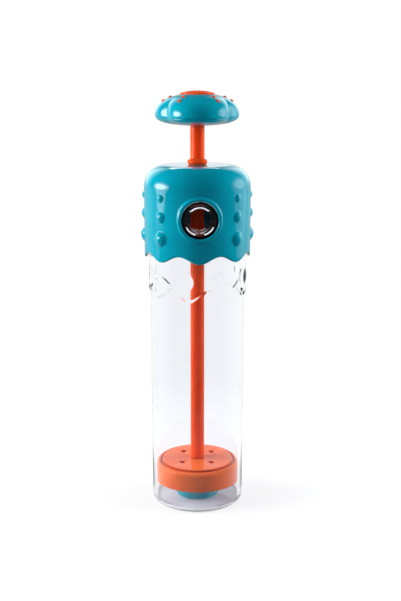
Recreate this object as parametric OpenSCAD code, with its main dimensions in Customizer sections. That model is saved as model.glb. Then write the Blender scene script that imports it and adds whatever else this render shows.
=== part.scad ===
// Hand pump water squirter: a clear barrel with a foot valve, a turning cap with one spout port,
// and a pull-up plunger with a three-lobed handle. The barrel stands on z = 0 and the spout faces -Y.

/* [Barrel] */
// Outside diameter of the clear tube
tube_d = 60; // [58:0.5:62]
// Wall thickness of the clear tube
tube_wall = 2.4; // [2.2:0.1:2.8]
// Height of the tube's top rim above the ground
barrel_h = 212; // [200:1:230]
// Height of the floor's upper face above the ground
floor_t = 2.2; // [2:0.1:2.8]
// How far the proud wave band stands off the tube
band_proud = 1.1; // [0.8:0.1:1.2]
// Drop from the skirt's tips to the lowest points of the wave band
band_drop = 23.5; // [20:0.5:30]

/* [Cap] */
// Wall thickness of the cap
cap_wall = 2; // [1.8:0.1:2.4]
// Height of the cap from its skirt's tips to its top
cap_h = 58; // [56:0.5:60]
// Radius of the cap's rounded shoulder
shoulder_r = 13.5; // [12.5:0.5:14]
// Height of the skirt's scallops
scallop_h = 4.4; // [3.6:0.1:5]
// Diameter of the spout port's opening
port_d = 22.6; // [21:0.2:23]
// Diameter of the largest bump in each column
bump_d = 9.4; // [8:0.2:10]

/* [Plunger] */
// Diameter of the rod
rod_d = 9; // [8.6:0.1:9.4]
// Diameter of the stop collar on the rod
collar_d = 12.6; // [12:0.1:14]
// Clear height for fingers between the collar and the handle
finger_gap = 21; // [18:0.5:28]
// Height of the soft piston cup
cup_h = 12.9; // [12.5:0.1:15]
// Wall thickness of the soft piston cup
cup_wall = 3.1; // [2.8:0.1:3.6]

/* [Handle] */
// Width of the handle across two lobes
handle_w = 52.6; // [50:0.2:56]
// Height of the handle without its button
handle_h = 19.4; // [19:0.1:21]

/* [Valves] */
// Diameter of the inlet valve
inlet_d = 27; // [26:0.2:29]
// Lift of the inlet valve off its seat
inlet_lift = 2; // [1.4:0.1:2.2]
// Lift of the piston's valve disc off its seat
disc_lift = 3; // [2.4:0.1:3.4]

/* [Fits] */
// Gap between pieces that move past each other
run_gap = 0.3; // [0.2:0.05:0.35]
// Gap at a sliding seal
seal_gap = 0.1; // [0.06:0.01:0.14]
// Gap between pieces that are fixed together
fit_gap = 0.05; // [0.02:0.01:0.08]

/* [Hidden] */
$fn = 96;

TEAL = "#0891a8";
ORANGE = "#e0582c";
CORAL = "#ec8560";
CLEAR = [0.86, 0.92, 0.97, 0.35];
SOFT = "#2f3a40";
STEEL = "#b9bcc0";
NATURAL = "#e9e6dc";

past = 1; // extra length of a cutter beyond the face it cuts
rest_gap = 0.1; // gap under a piece that rests on another

// Barrel
tube_r = tube_d / 2;
bore_r = tube_r - tube_wall;
foot_round = 3;
foot_recess = 0.9;
foot_rim = 3.6;
foot_recess_r = bore_r - foot_rim;
notch_w = 6;
notch_inset = 2;
bore_round = 1.5;
band_r = tube_r + band_proud;
band_root = 1.4;
band_in_r = tube_r - band_root;
band_top_gap = 1;
band_wave_h = 6;
band_phase = -12.5;
bubble_drop = 11.5;
bubble_rise = 0.7;
bubble_r = 4.8;
small_bubble_r = 2.7;
bubble_turn = -15.5;
small_bubble_turn = 29.5;
bubble_count = 4;

// Scallops, shared by the cap's skirt and the wave band
scallops = 8;
scallop_pitch = 360 / scallops;
scallop_ease = 1.12;

// Cap
cap_gap = 1.6;
cap_rise = 9.5;
cap_in_r = tube_r + cap_gap;
cap_r = cap_in_r + cap_wall;
cap_top_z = barrel_h + cap_rise;
cap_under_z = cap_top_z - cap_wall;
shoulder_z = cap_top_z - shoulder_r;
skirt_tip_z = cap_top_z - cap_h;
skirt_valley_z = skirt_tip_z + scallop_h;
skirt_lap = 1.2;
rib_lift = 5.6;
rib_z = skirt_tip_z + rib_lift;
rib_t = 2;
rib_in_r = tube_r + run_gap;
bump_rise = [1.2, 1.6, 2.2];
bump_scale = [0.56, 0.77, 1];
bump_drop = [18.5, 30, 43.5];
bump_reach = cap_r + bump_rise[2];

// Split ring that holds the cap down
ring_z = rib_z + rib_t + run_gap;
ring_t = 1.8;
ring_depth = 0.9;
ring_out_r = cap_in_r - run_gap;
ring_split = 14;
groove_gap = 0.1;

// Spout port, about midway between the split ring and the shoulder
port_lift = 0.2;
port_z = (ring_z + ring_t + shoulder_z) / 2 + port_lift;
port_r = port_d / 2;
port_ring_w = 2.3;
port_ring_r = port_r + port_ring_w;
port_crest = 1.15;
port_face = bump_reach - port_crest;
port_root_r = cap_in_r - port_ring_r / 2;
nozzle_sink = 1.4;
nozzle_back = cap_r - nozzle_sink;
nozzle_t = 2.6;
nozzle_ring_w = 4.3;
nozzle_bore_r = port_r - nozzle_ring_w;
nozzle_rim = 0.3;
gasket_w = 1.35;
gasket_in_r = port_r - gasket_w;
pocket_in_r = nozzle_bore_r + nozzle_rim;
pocket_w = 1.7;
pocket_depth = 1.4;
pocket_count = 3;
pocket_web = 5.6;

// Spout liner and its outlets
rod_r = rod_d / 2;
rod_clear = 0.5;
liner_gap = 0.15;
liner_wall = 1.9;
liner_r = bore_r - liner_gap;
liner_in_r = liner_r - liner_wall;
liner_drop = 16;
liner_low_z = port_z - liner_drop;
liner_plate_t = 2;
flange_inset = 0.8;
liner_flange_r = tube_r - flange_inset;
boss_r = 8.8;
boss_drop = 9;
boss_low_z = barrel_h - boss_drop;
boss_gap = 0.2;
boss_top_z = cap_under_z - boss_gap;
outlet_turns = [0, 120, 240];
outlet_r = nozzle_bore_r;
window_margin = 1.6;
window_r = outlet_r + window_margin;
window_root_r = sqrt(pow(liner_in_r, 2) - pow(window_r, 2)) - past;
shower_holes = 6;
shower_r = 4;
shower_hole_r = 0.8;
slot_w = 12;
slot_h = 2.6;
seal_drop = 6;
seal_z = barrel_h - seal_drop;
seal_t = 2;
seal_depth = 0.9;

// Rod guide and wiper
boss_wall = 2;
guide_r = boss_r - boss_wall;
wiper_ledge = 1.6;
wiper_z = boss_low_z + wiper_ledge;
wiper_t = 3;
guide_z = wiper_z + wiper_t;

// Inlet valve over the turret in the floor
inlet_r = inlet_d / 2;
bell_wall = 1.4;
bell_gap = 1.6;
bell_round = 2;
bell_roof = 1.6;
bell_lift = 0.5;
inlet_skirt_in_r = inlet_r - bell_wall;
turret_r = inlet_skirt_in_r - bell_gap;
turret_wall = 1.5;
turret_in_r = turret_r - turret_wall;
turret_h = 4.8;
turret_top_z = floor_t + turret_h;
turret_roof = 1.6;
turret_under_z = turret_top_z - turret_roof;
inlet_ports = 6;
inlet_port_r = 1.7;
inlet_port_turn_r = 5.6;
stem_r = 1.9;
inlet_seal_t = 0.8;
inlet_seal_inset = 1;
inlet_under_z = turret_top_z + seal_gap + inlet_seal_t;
inlet_top_z = inlet_under_z + bell_roof;
inlet_skirt_z = floor_t + bell_lift;
clip_t = 0.7;
clip_top_z = turret_under_z - inlet_lift - rest_gap;
clip_r = 3.6;
clip_groove = 0.5;
stem_tip = 0.4;
stem_low_z = clip_top_z - clip_t - stem_tip;

// Plunger
collar_r = collar_d / 2;
collar_z = cap_top_z + rest_gap;
collar_t = 3.4;
collar_round = 1.5;
piston_gap = 3.6;
piston_low_z = inlet_top_z + piston_gap;
cup_top_z = piston_low_z + cup_h;
cup_r = bore_r - seal_gap;
cup_in_r = cup_r - cup_wall;
cup_bevel = 0.8;
plate_groove = 1.1;
plate_r = cup_in_r - plate_groove;
plate_proud = 1;
plate_top_z = cup_top_z + plate_proud;
plate_t = 2.4;
plate_boss_r = 9;
plate_hole_r = 2.1;
plate_hole_turn_r = 13.5;
plate_hole_turn = 41;
plate_holes = 4;
core_lift = 2.8;
core_low_z = piston_low_z + core_lift;
core_t = 2.5;
core_seat_z = core_low_z + core_t;
core_key = 0.7;
core_r = cup_in_r + core_key;
core_ports = 8;
core_port_r = 2.6;
core_port_turn_r = 13;
hub_r = 6.5;
disc_t = 1.5;
disc_lap = 2.4;
disc_z = core_seat_z + rest_gap;
disc_r = core_port_turn_r + core_port_r + disc_lap;
disc_hole_r = hub_r + run_gap;
hub_top_z = disc_z + disc_t + disc_lift + rest_gap;
spigot_r = 3.2;
spigot_gap = 0.4;
spigot_low_z = core_low_z + spigot_gap;
screw_r = 1.6;
screw_head_r = 3.6;
screw_head_t = 1.8;
screw_hole = 12;
screw_tip = 1.2;
screw_len = screw_hole - screw_tip;
drive_r = 1.7;
drive_depth = 1;
washer_r = 6;
washer_t = 0.8;

// Handle
lobes = 3;
lobe_offset = 8.6;
lobe_r = handle_w / 2 - lobe_offset * cos(30);
handle_low_z = collar_z + collar_t + finger_gap;
handle_top_z = handle_low_z + handle_h;
base_h = 4;
belly_h = 6.2;
handle_split_z = handle_low_z + base_h;
handle_wide_z = handle_low_z + belly_h;
dome_h = handle_top_z - handle_wide_z;
handle_wall = 2;
hollow_r = lobe_r - handle_wall;
hollow_step = 2.9;
hollow_step_z = handle_wide_z + hollow_step;
hollow_in = 4.8;
hollow_top_r = hollow_r - hollow_in;
roof_t = 5.7;
hollow_top_z = handle_top_z - roof_t;
dome_turn = 78;
socket_lift = 0.6;
socket_h = 8;
socket_z = handle_split_z + socket_lift;
socket_top_z = socket_z + socket_h;
core_plate_t = 2;
core_plate_z = hollow_step_z - core_plate_t;
core_gap = 1.2;
core_lobe_r = hollow_r - core_gap;
core_hub_r = 6.5;
nub_r = 0.95;
nub_rise = 0.8;
nub_turn = 24;
nub_insets = [8.6, 4.7];
nub_edge = lobe_edge(180 / lobes - nub_turn);
nub_rings = [for (inset = nub_insets) nub_edge - inset];
button_margin = 5.5;
button_r = nub_rings[0] - button_margin;
button_sink = 2.1;
button_z = handle_top_z - button_sink;
button_edge = 1.9;
button_rise = 1.7;
button_plug_r = 5.6;
plug_gap = 0.8;
button_plug_z = socket_top_z + screw_head_t + plug_gap;

// Distance from the handle's axis to the outline of a lobe, at a turn from that lobe's middle
function lobe_edge(turn) =
    lobe_offset * cos(turn) + sqrt(pow(lobe_r, 2) - pow(lobe_offset * sin(turn), 2));

// Points along an arc, from angle a to angle b
function arc(centre, radius, a, b, steps = 6) =
    [for (i = [0:steps]) let (t = a + (b - a) * i / steps) centre + radius * [cos(t), sin(t)]];

// Points along a quarter-turn or less of an ellipse with half axes a and b
function ellipse(centre, a, b, from, to, steps = 8) =
    [for (i = [0:steps]) let (t = from + (to - from) * i / steps) centre + [a * cos(t), b * sin(t)]];

// Height of a lobe's dome at a distance from the lobe's own axis
function dome_z(d) = handle_wide_z + dome_h * sqrt(1 - pow(d / lobe_r, 2));

// Distance from the nearest lobe's axis to a nub on a ring of radius r
function nub_from_lobe(r) =
    sqrt(pow(r, 2) + pow(lobe_offset, 2) - 2 * r * lobe_offset * cos(180 / lobes - nub_turn));

// A round plate or bar about the Z axis
module disc(radius, z0, z1) {
    translate([0, 0, z0]) cylinder(r = radius, h = z1 - z0);
}

// A flat-sided ring about the Z axis
module ring(r_in, r_out, z0, z1) {
    rotate_extrude() translate([r_in, z0]) square([r_out - r_in, z1 - z0]);
}

// Turns the child's +Z to point outward, away from the Z axis, at a height and a turn from the front
module outward(turn, z, reach = 0) {
    rotate([0, 0, turn]) translate([0, -reach, z]) rotate([90, 0, 0]) children();
}

// A dome on a round wall of radius wall_r: base radius, rise off the wall
module wall_dome(turn, z, wall_r, base_r, rise) {
    dome = (pow(base_r, 2) + pow(rise, 2)) / (2 * rise);
    outward(turn, z, wall_r + rise - dome) sphere(r = dome);
}

// A ring whose lower edge runs in round scallops between tip_z and valley_z
module scallop_ring(r_in, r_out, tip_z, valley_z, top_z, phase) {
    half_pitch = PI * r_out / scallops;
    height = valley_z - tip_z;
    tip_r = (pow(half_pitch, 2) + pow(height, 2)) / (4 * height);
    valley_r = tip_r * scallop_ease;
    mid_z = (tip_z + valley_z) / 2;
    start = r_in / 2;
    reach = r_out - start + past;
    difference() {
        union() {
            ring(r_in, r_out, mid_z, top_z);
            for (i = [0:scallops - 1])
                intersection() {
                    ring(r_in, r_out, tip_z - past, mid_z + past);
                    outward(phase + i * scallop_pitch, tip_z + tip_r, start) cylinder(r = tip_r, h = reach);
                }
        }
        for (i = [0:scallops - 1])
            outward(phase + (i + 0.5) * scallop_pitch, valley_z - valley_r, start)
                cylinder(r = valley_r, h = reach);
    }
}

// Clear tube with its floor, valve turret, cap groove, outlet windows and wave band
module barrel() {
    ring_top_z = ring_z + ring_t + groove_gap;
    wall = concat(
        [[foot_recess_r, 0]],
        arc([tube_r - foot_round, foot_round], foot_round, -90, 0),
        [
            [tube_r, ring_z - groove_gap], [tube_r - ring_depth, ring_z - groove_gap],
            [tube_r - ring_depth, ring_top_z], [tube_r, ring_top_z],
            [tube_r, barrel_h], [bore_r, barrel_h],
        ],
        arc([bore_r - bore_round, floor_t + bore_round], bore_round, 0, -90),
        [
            [turret_r, floor_t], [turret_r, turret_top_z],
            [stem_r + run_gap, turret_top_z], [stem_r + run_gap, turret_under_z],
            [turret_in_r, turret_under_z], [turret_in_r, foot_recess], [foot_recess_r, foot_recess],
        ]
    );
    band_tip_z = skirt_tip_z - band_drop;
    band_valley_z = band_tip_z + band_wave_h;
    band_top_z = rib_z - band_top_gap;
    bubble_z = skirt_tip_z - bubble_drop;
    color(CLEAR) difference() {
        union() {
            rotate_extrude() polygon(wall);
            difference() {
                union() {
                    scallop_ring(band_in_r, band_r, band_tip_z, band_valley_z, band_top_z, band_phase);
                    for (i = [0:bubble_count - 1]) {
                        turn = i * 360 / bubble_count;
                        wall_dome(turn + bubble_turn, bubble_z, band_r, bubble_r, bubble_rise);
                        wall_dome(turn + small_bubble_turn, bubble_z, band_r, small_bubble_r, bubble_rise);
                    }
                }
                disc(band_in_r, band_tip_z - band_drop, rib_z);
            }
        }
        for (turn = outlet_turns)
            outward(turn, port_z, window_root_r) cylinder(r = window_r, h = tube_r - window_root_r + past);
        for (i = [0:inlet_ports - 1])
            rotate([0, 0, i * 360 / inlet_ports]) translate([inlet_port_turn_r, 0, 0])
                disc(inlet_port_r, turret_under_z - past, turret_top_z + past);
        for (turn = [45:90:315])
            rotate([0, 0, turn]) translate([foot_recess_r - notch_inset, -notch_w / 2, -past])
                cube([tube_r, notch_w, foot_recess + past]);
    }
}

// Clear plug and sleeve in the neck: closes the bore, guides the rod and holds the three outlets
module spout_liner() {
    groove_r = liner_r - seal_depth;
    profile = [
        [rod_r + rod_clear, boss_low_z], [boss_r, boss_low_z], [boss_r, barrel_h],
        [liner_in_r, barrel_h], [liner_in_r, liner_low_z], [liner_r, liner_low_z],
        [liner_r, seal_z], [groove_r, seal_z], [groove_r, seal_z + seal_t], [liner_r, seal_z + seal_t],
        [liner_r, barrel_h], [liner_flange_r, barrel_h], [liner_flange_r, barrel_h + liner_plate_t],
        [boss_r, barrel_h + liner_plate_t], [boss_r, boss_top_z], [guide_r, boss_top_z],
        [guide_r, wiper_z], [rod_r + rod_clear, wiper_z],
    ];
    start = window_root_r;
    cut = liner_r - start + past;
    color(CLEAR) difference() {
        rotate_extrude() polygon(profile);
        outward(outlet_turns[0], port_z, start) cylinder(r = outlet_r, h = cut);
        outward(outlet_turns[1], port_z, start) cylinder(r = shower_hole_r, h = cut);
        for (i = [0:shower_holes - 1]) {
            spoke = i * 360 / shower_holes;
            outward(outlet_turns[1], port_z, start)
                translate([shower_r * cos(spoke), shower_r * sin(spoke), 0])
                    cylinder(r = shower_hole_r, h = cut);
        }
        outward(outlet_turns[2], port_z, start)
            translate([-slot_w / 2, -slot_h / 2, 0]) cube([slot_w, slot_h, cut]);
    }
}

// Bush that guides the rod in the liner's boss
module rod_guide() {
    color(NATURAL) ring(rod_r + seal_gap, guide_r - fit_gap, guide_z, boss_top_z);
}

// Soft ring that seals on the rod, under the guide
module rod_wiper() {
    color(SOFT) ring(rod_r + seal_gap, guide_r - fit_gap, wiper_z, guide_z);
}

// Soft ring between the liner and the barrel's bore
module liner_seal() {
    inside = liner_r - seal_depth + fit_gap;
    color(SOFT) ring(inside, bore_r - fit_gap, seal_z + fit_gap, seal_z + seal_t - fit_gap);
}

// Split ring in the barrel's groove, above the cap's rib
module cap_snap_ring() {
    color(NATURAL) difference() {
        ring(tube_r - ring_depth + fit_gap, ring_out_r, ring_z, ring_z + ring_t);
        rotate([0, 0, 90]) translate([0, -ring_split / 2, ring_z - past])
            cube([cap_r, ring_split, ring_t + 2 * past]);
    }
}

// Bell-shaped valve that rests over the floor's turret, with its guide stem
module inlet_valve() {
    groove_r = stem_r - clip_groove;
    groove_z = clip_top_z - clip_t;
    profile = concat(
        [[0, stem_low_z], [stem_r, stem_low_z], [stem_r, groove_z], [groove_r, groove_z]],
        [[groove_r, clip_top_z], [stem_r, clip_top_z], [stem_r, inlet_under_z]],
        [[inlet_skirt_in_r, inlet_under_z], [inlet_skirt_in_r, inlet_skirt_z], [inlet_r, inlet_skirt_z]],
        arc([inlet_r - bell_round, inlet_top_z - bell_round], bell_round, 0, 90),
        [[0, inlet_top_z]]
    );
    color(TEAL) rotate_extrude() polygon(profile);
}

// Split clip that keeps the valve's stem in the turret's roof
module inlet_valve_clip() {
    color(STEEL) difference() {
        ring(stem_r - clip_groove + fit_gap, clip_r, clip_top_z - clip_t + fit_gap, clip_top_z - fit_gap);
        translate([0, -stem_r + clip_groove, clip_top_z - clip_t - past])
            cube([clip_r + past, 2 * (stem_r - clip_groove), clip_t + 2 * past]);
    }
}

// Soft washer between the inlet valve and the turret's roof
module inlet_valve_seal() {
    color(SOFT) ring(stem_r + fit_gap, turret_r - inlet_seal_inset, turret_top_z + seal_gap, inlet_under_z);
}

// Cap with its scalloped skirt, bumps, port ring and inner rib
module cap_shell() {
    outside = concat(
        [[0, skirt_valley_z + skirt_lap], [cap_r, skirt_valley_z + skirt_lap]],
        arc([cap_r - shoulder_r, shoulder_z], shoulder_r, 0, 90, 12),
        [[0, cap_top_z]]
    );
    inner_round = shoulder_r - cap_wall;
    skirt_top_z = skirt_valley_z + 2 * skirt_lap;
    inside = concat(
        [[0, skirt_tip_z - past], [cap_in_r, skirt_tip_z - past], [cap_in_r, rib_z], [rib_in_r, rib_z]],
        [[rib_in_r, rib_z + rib_t], [cap_in_r, rib_z + rib_t]],
        arc([cap_r - shoulder_r, shoulder_z], inner_round, 0, 90, 12),
        [[0, cap_under_z]]
    );
    color(TEAL) difference() {
        union() {
            rotate_extrude() polygon(outside);
            scallop_ring(cap_in_r - past, cap_r, skirt_tip_z, skirt_valley_z, skirt_top_z, 0);
            for (column = [1:scallops - 1])
                for (i = [0:2])
                    wall_dome(column * scallop_pitch, cap_top_z - bump_drop[i], cap_r,
                        bump_scale[i] * bump_d / 2, bump_rise[i]);
            outward(0, port_z, port_root_r) cylinder(r = port_ring_r, h = port_face - port_root_r);
            outward(0, port_z, port_face)
                rotate_extrude() translate([port_ring_r - port_crest, 0]) circle(r = port_crest);
        }
        rotate_extrude() polygon(inside);
        outward(0, port_z, port_root_r - past) cylinder(r = port_r, h = bump_reach - port_root_r + 2 * past);
        disc(rod_r + rod_clear, cap_under_z - past, cap_top_z + past);
    }
}

// Clear ring in the cap's port, with kidney-shaped pockets around its bore
module port_nozzle() {
    color(CLEAR) outward(0, port_z, nozzle_back) difference() {
        ring(nozzle_bore_r, port_r - fit_gap, 0, nozzle_t);
        difference() {
            ring(pocket_in_r, pocket_in_r + pocket_w, nozzle_t - pocket_depth, nozzle_t + past);
            for (i = [0:pocket_count - 1])
                rotate([0, 0, 90 + (i + 0.5) * 360 / pocket_count])
                    translate([0, -pocket_web / 2, 0]) cube([port_r, pocket_web, nozzle_t + 2 * past]);
        }
    }
}

// Soft ring behind the nozzle that wipes the barrel's wall
module port_gasket() {
    start = tube_r - port_r / 2;
    color(SOFT) difference() {
        outward(0, port_z, start) ring(gasket_in_r, port_r - fit_gap, 0, nozzle_back - start);
        disc(tube_r + run_gap, port_z - 2 * port_r, port_z + 2 * port_r);
    }
}

// Soft ring that slides in the bore, with a groove for the piston core's rim
module piston_cup() {
    groove_r = core_r + run_gap;
    profile = [
        [cup_in_r, piston_low_z], [cup_r - cup_bevel, piston_low_z], [cup_r, piston_low_z + cup_bevel],
        [cup_r, cup_top_z - cup_bevel], [cup_r - cup_bevel, cup_top_z], [cup_in_r, cup_top_z],
        [cup_in_r, core_seat_z + run_gap], [groove_r, core_seat_z + run_gap],
        [groove_r, core_low_z - run_gap], [cup_in_r, core_low_z - run_gap],
    ];
    color(CORAL) rotate_extrude() polygon(profile);
}

// Rod with its stop collar and a screw spigot at each end
module rod() {
    collar_top_z = collar_z + collar_t;
    spigot_top_z = socket_top_z - spigot_gap;
    profile = concat(
        [[0, spigot_low_z], [spigot_r, spigot_low_z], [spigot_r, plate_top_z], [rod_r, plate_top_z]],
        [[rod_r, collar_z], [collar_r - collar_round, collar_z]],
        arc([collar_r - collar_round, collar_z + collar_round], collar_round, -90, 0, 4),
        arc([collar_r - collar_round, collar_top_z - collar_round], collar_round, 0, 90, 4),
        [[rod_r, collar_top_z], [rod_r, socket_z], [spigot_r, socket_z], [spigot_r, spigot_top_z]],
        [[0, spigot_top_z]]
    );
    color(ORANGE) difference() {
        rotate_extrude() polygon(profile);
        disc(screw_r + fit_gap, spigot_low_z - past, spigot_low_z + screw_hole);
        disc(screw_r + fit_gap, socket_top_z - screw_hole, socket_top_z);
    }
}

// Top plate of the piston with its four water holes
module piston_plate() {
    color(CORAL) difference() {
        union() {
            disc(plate_r, plate_top_z - plate_t, plate_top_z);
            disc(plate_boss_r, hub_top_z, plate_top_z - plate_t + past / 2);
        }
        disc(spigot_r + fit_gap, hub_top_z - past, plate_top_z + past);
        for (i = [0:plate_holes - 1])
            rotate([0, 0, plate_hole_turn + i * 360 / plate_holes]) translate([plate_hole_turn_r, 0, 0])
                disc(plate_hole_r, hub_top_z - past, plate_top_z + past);
    }
}

// Seat plate of the piston, with ports under the valve disc and a hub on the rod
module piston_core() {
    color(ORANGE) difference() {
        union() {
            disc(core_r, core_low_z, core_seat_z);
            disc(hub_r, core_low_z, hub_top_z);
        }
        disc(spigot_r + fit_gap, core_low_z - past, hub_top_z + past);
        for (i = [0:core_ports - 1])
            rotate([0, 0, i * 360 / core_ports]) translate([core_port_turn_r, 0, 0])
                disc(core_port_r, core_low_z - past, core_seat_z + past);
    }
}

// A pan-head screw with its head on z = 0, its shank along +Z and a hexagon socket
module pan_screw(length) {
    color(STEEL) difference() {
        union() {
            disc(screw_r, -past / 2, length);
            disc(screw_head_r, -screw_head_t, 0);
        }
        translate([0, 0, -screw_head_t - past]) cylinder(r = drive_r, h = drive_depth + past, $fn = 6);
    }
}

// Screw that clamps the piston to the rod from below
module piston_screw() {
    translate([0, 0, core_low_z - washer_t]) pan_screw(screw_len);
}

// Washer under the piston's screw
module piston_washer() {
    color(STEEL) ring(screw_r + fit_gap, washer_r, core_low_z - washer_t, core_low_z);
}

// Soft disc that lifts off the piston's seat
module piston_valve() {
    color(SOFT) ring(disc_hole_r, disc_r, disc_z, disc_z + disc_t);
}

// Three copies of the child, one on each lobe's axis
module on_lobes() {
    for (i = [0:lobes - 1]) rotate([0, 0, i * 360 / lobes]) translate([0, -lobe_offset, 0]) children();
}

// Places the child at each nub on a ring of radius r, flanking the creases between the lobes
module nub_spots(r) {
    for (i = [0:lobes - 1])
        for (side = [-1, 1])
            rotate([0, 0, (i + 0.5) * 360 / lobes + side * nub_turn]) translate([0, -r, 0]) children();
}

// Teal dome of three lobes, hollow in two steps, with a pocket for the button and holes for the nubs
module handle_shell() {
    outline = concat(
        [[0, handle_split_z], [lobe_r, handle_split_z]],
        ellipse([0, handle_wide_z], lobe_r, dome_h, 0, dome_turn, 7),
        [[0, handle_wide_z + dome_h * sin(dome_turn)]]
    );
    color(TEAL) difference() {
        on_lobes() rotate_extrude() polygon(outline);
        on_lobes() disc(hollow_r, handle_split_z - past, hollow_step_z);
        on_lobes() disc(hollow_top_r, handle_split_z, hollow_top_z);
        disc(button_r + fit_gap, button_z, handle_top_z + past);
        disc(button_plug_r + fit_gap, handle_split_z, handle_top_z);
        for (r = nub_rings) nub_spots(r) disc(nub_r + fit_gap, handle_wide_z, handle_top_z + past);
    }
}

// Underside of the handle, closing the shell
module handle_base() {
    side = asin((handle_split_z - handle_wide_z) / belly_h);
    profile = concat(
        ellipse([0, handle_wide_z], lobe_r, belly_h, -90, side),
        [[0, handle_split_z]]
    );
    color(TEAL) difference() {
        on_lobes() rotate_extrude() polygon(profile);
        disc(rod_r + fit_gap, handle_low_z - past, handle_split_z + past);
    }
}

// Orange core inside the handle, with its hub on the rod and the nubs that show through the shell
module handle_core() {
    color(ORANGE) difference() {
        union() {
            disc(core_hub_r, socket_z, socket_top_z);
            on_lobes() disc(core_lobe_r, core_plate_z, core_plate_z + core_plate_t);
            for (r = nub_rings) {
                tip_z = dome_z(nub_from_lobe(r)) + nub_rise - nub_r;
                nub_spots(r) {
                    disc(nub_r, core_plate_z + past, tip_z);
                    translate([0, 0, tip_z]) sphere(r = nub_r);
                }
            }
        }
        disc(spigot_r + fit_gap, socket_z - past, socket_top_z + past);
    }
}

// Orange disc on top of the handle, plugged into the shell
module handle_button() {
    dome = (pow(button_r, 2) + pow(button_rise, 2)) / (2 * button_rise);
    profile = concat(
        [[0, button_plug_z], [button_plug_r, button_plug_z], [button_plug_r, button_z], [button_r, button_z]],
        arc([0, button_z + button_edge + button_rise - dome], dome, acos(button_r / dome), 90)
    );
    color(ORANGE) rotate_extrude() polygon(profile);
}

// Screw that holds the handle on the rod, hidden by the button
module handle_screw() {
    translate([0, 0, socket_top_z]) mirror([0, 0, 1]) pan_screw(screw_len);
}

barrel();
spout_liner();
rod_guide();
rod_wiper();
liner_seal();
cap_snap_ring();
inlet_valve();
inlet_valve_clip();
inlet_valve_seal();
cap_shell();
port_nozzle();
port_gasket();
piston_cup();
rod();
piston_plate();
piston_core();
piston_screw();
piston_washer();
handle_shell();
handle_base();
handle_core();
handle_button();
handle_screw();
piston_valve();
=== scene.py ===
"""Looks of a hand pump water squirter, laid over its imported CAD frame.

Everything is in metres in the frame's own axes: the barrel stands on z = 0 and the spout faces -Y.
A turn is an angle about Z, measured from the front towards the right.
"""

import math

import bmesh
import bpy
from bpy.props import FloatProperty, FloatVectorProperty, PointerProperty
from mathutils import Matrix, Vector


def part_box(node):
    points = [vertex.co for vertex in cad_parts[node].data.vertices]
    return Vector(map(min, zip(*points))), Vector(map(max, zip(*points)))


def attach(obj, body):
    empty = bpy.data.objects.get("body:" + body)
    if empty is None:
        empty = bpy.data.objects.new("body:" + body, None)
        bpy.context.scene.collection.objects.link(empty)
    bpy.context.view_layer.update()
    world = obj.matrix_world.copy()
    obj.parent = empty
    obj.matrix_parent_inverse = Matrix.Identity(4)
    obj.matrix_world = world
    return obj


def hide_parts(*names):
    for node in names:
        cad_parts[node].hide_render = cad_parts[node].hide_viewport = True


bl_info = {
    "name": "Water squirter",
    "version": (1, 0, 0),
    "blender": (4, 5, 0),
    "location": "View3D > Sidebar > Squirter",
    "description": "Builds the looks of a hand pump water squirter around its CAD frame",
    "category": "Object",
}

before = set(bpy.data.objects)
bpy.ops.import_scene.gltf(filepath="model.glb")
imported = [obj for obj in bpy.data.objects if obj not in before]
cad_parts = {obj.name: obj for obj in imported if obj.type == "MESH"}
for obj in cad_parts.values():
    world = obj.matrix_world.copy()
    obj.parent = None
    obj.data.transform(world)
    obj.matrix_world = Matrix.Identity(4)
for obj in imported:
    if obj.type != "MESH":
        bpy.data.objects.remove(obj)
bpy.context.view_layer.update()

MM = 0.001
SCALLOPS = 8
LOBES = 3
OUTLETS = 3
POCKETS = 3

# Points around a turned piece, and the angle in degrees past which an edge stays sharp
TURNS = 192
SHARP = 38

# A stud's mesh is this many times as wide as its dome, which leaves room for a soft foot
STUD_REACH = 1.12

BARREL_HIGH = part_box("barrel")[1]
CAP_LOW, CAP_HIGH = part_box("cap_shell")
NOZZLE_LOW, NOZZLE_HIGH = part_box("port_nozzle")
BELL_LOW, BELL_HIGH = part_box("inlet_valve")
ROD_LOW, ROD_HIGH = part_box("rod")
CUP_LOW, CUP_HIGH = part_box("piston_cup")
PLATE_LOW, PLATE_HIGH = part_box("piston_plate")
SHELL_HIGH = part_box("handle_shell")[1]
BASE_LOW, BASE_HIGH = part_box("handle_base")
CORE_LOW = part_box("handle_core")[0]
BUTTON_LOW, BUTTON_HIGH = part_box("handle_button")


# Settings

def screen_colour(red, green, blue):
    """Linear colour of an 8-bit screen colour, fully opaque."""
    def linear(level):
        level /= 255
        return level / 12.92 if level <= 0.04045 else ((level + 0.055) / 1.055) ** 2.4
    return (linear(red), linear(green), linear(blue), 1.0)


def length(name, description, default):
    """A size in metres."""
    return FloatProperty(
        name=name, description=description, default=default, min=0.0, unit="LENGTH", precision=5)


def turn(name, description, degrees):
    """An angle about Z, from the front."""
    return FloatProperty(name=name, description=description, default=math.radians(degrees), subtype="ANGLE")


def tint(name, description, colour):
    """A colour with alpha."""
    return FloatVectorProperty(
        name=name, description=description, default=colour, size=4, min=0.0, max=1.0, subtype="COLOR")


def amount(name, description, default):
    """A plain number without a unit."""
    return FloatProperty(name=name, description=description, default=default, min=0.0)


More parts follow.
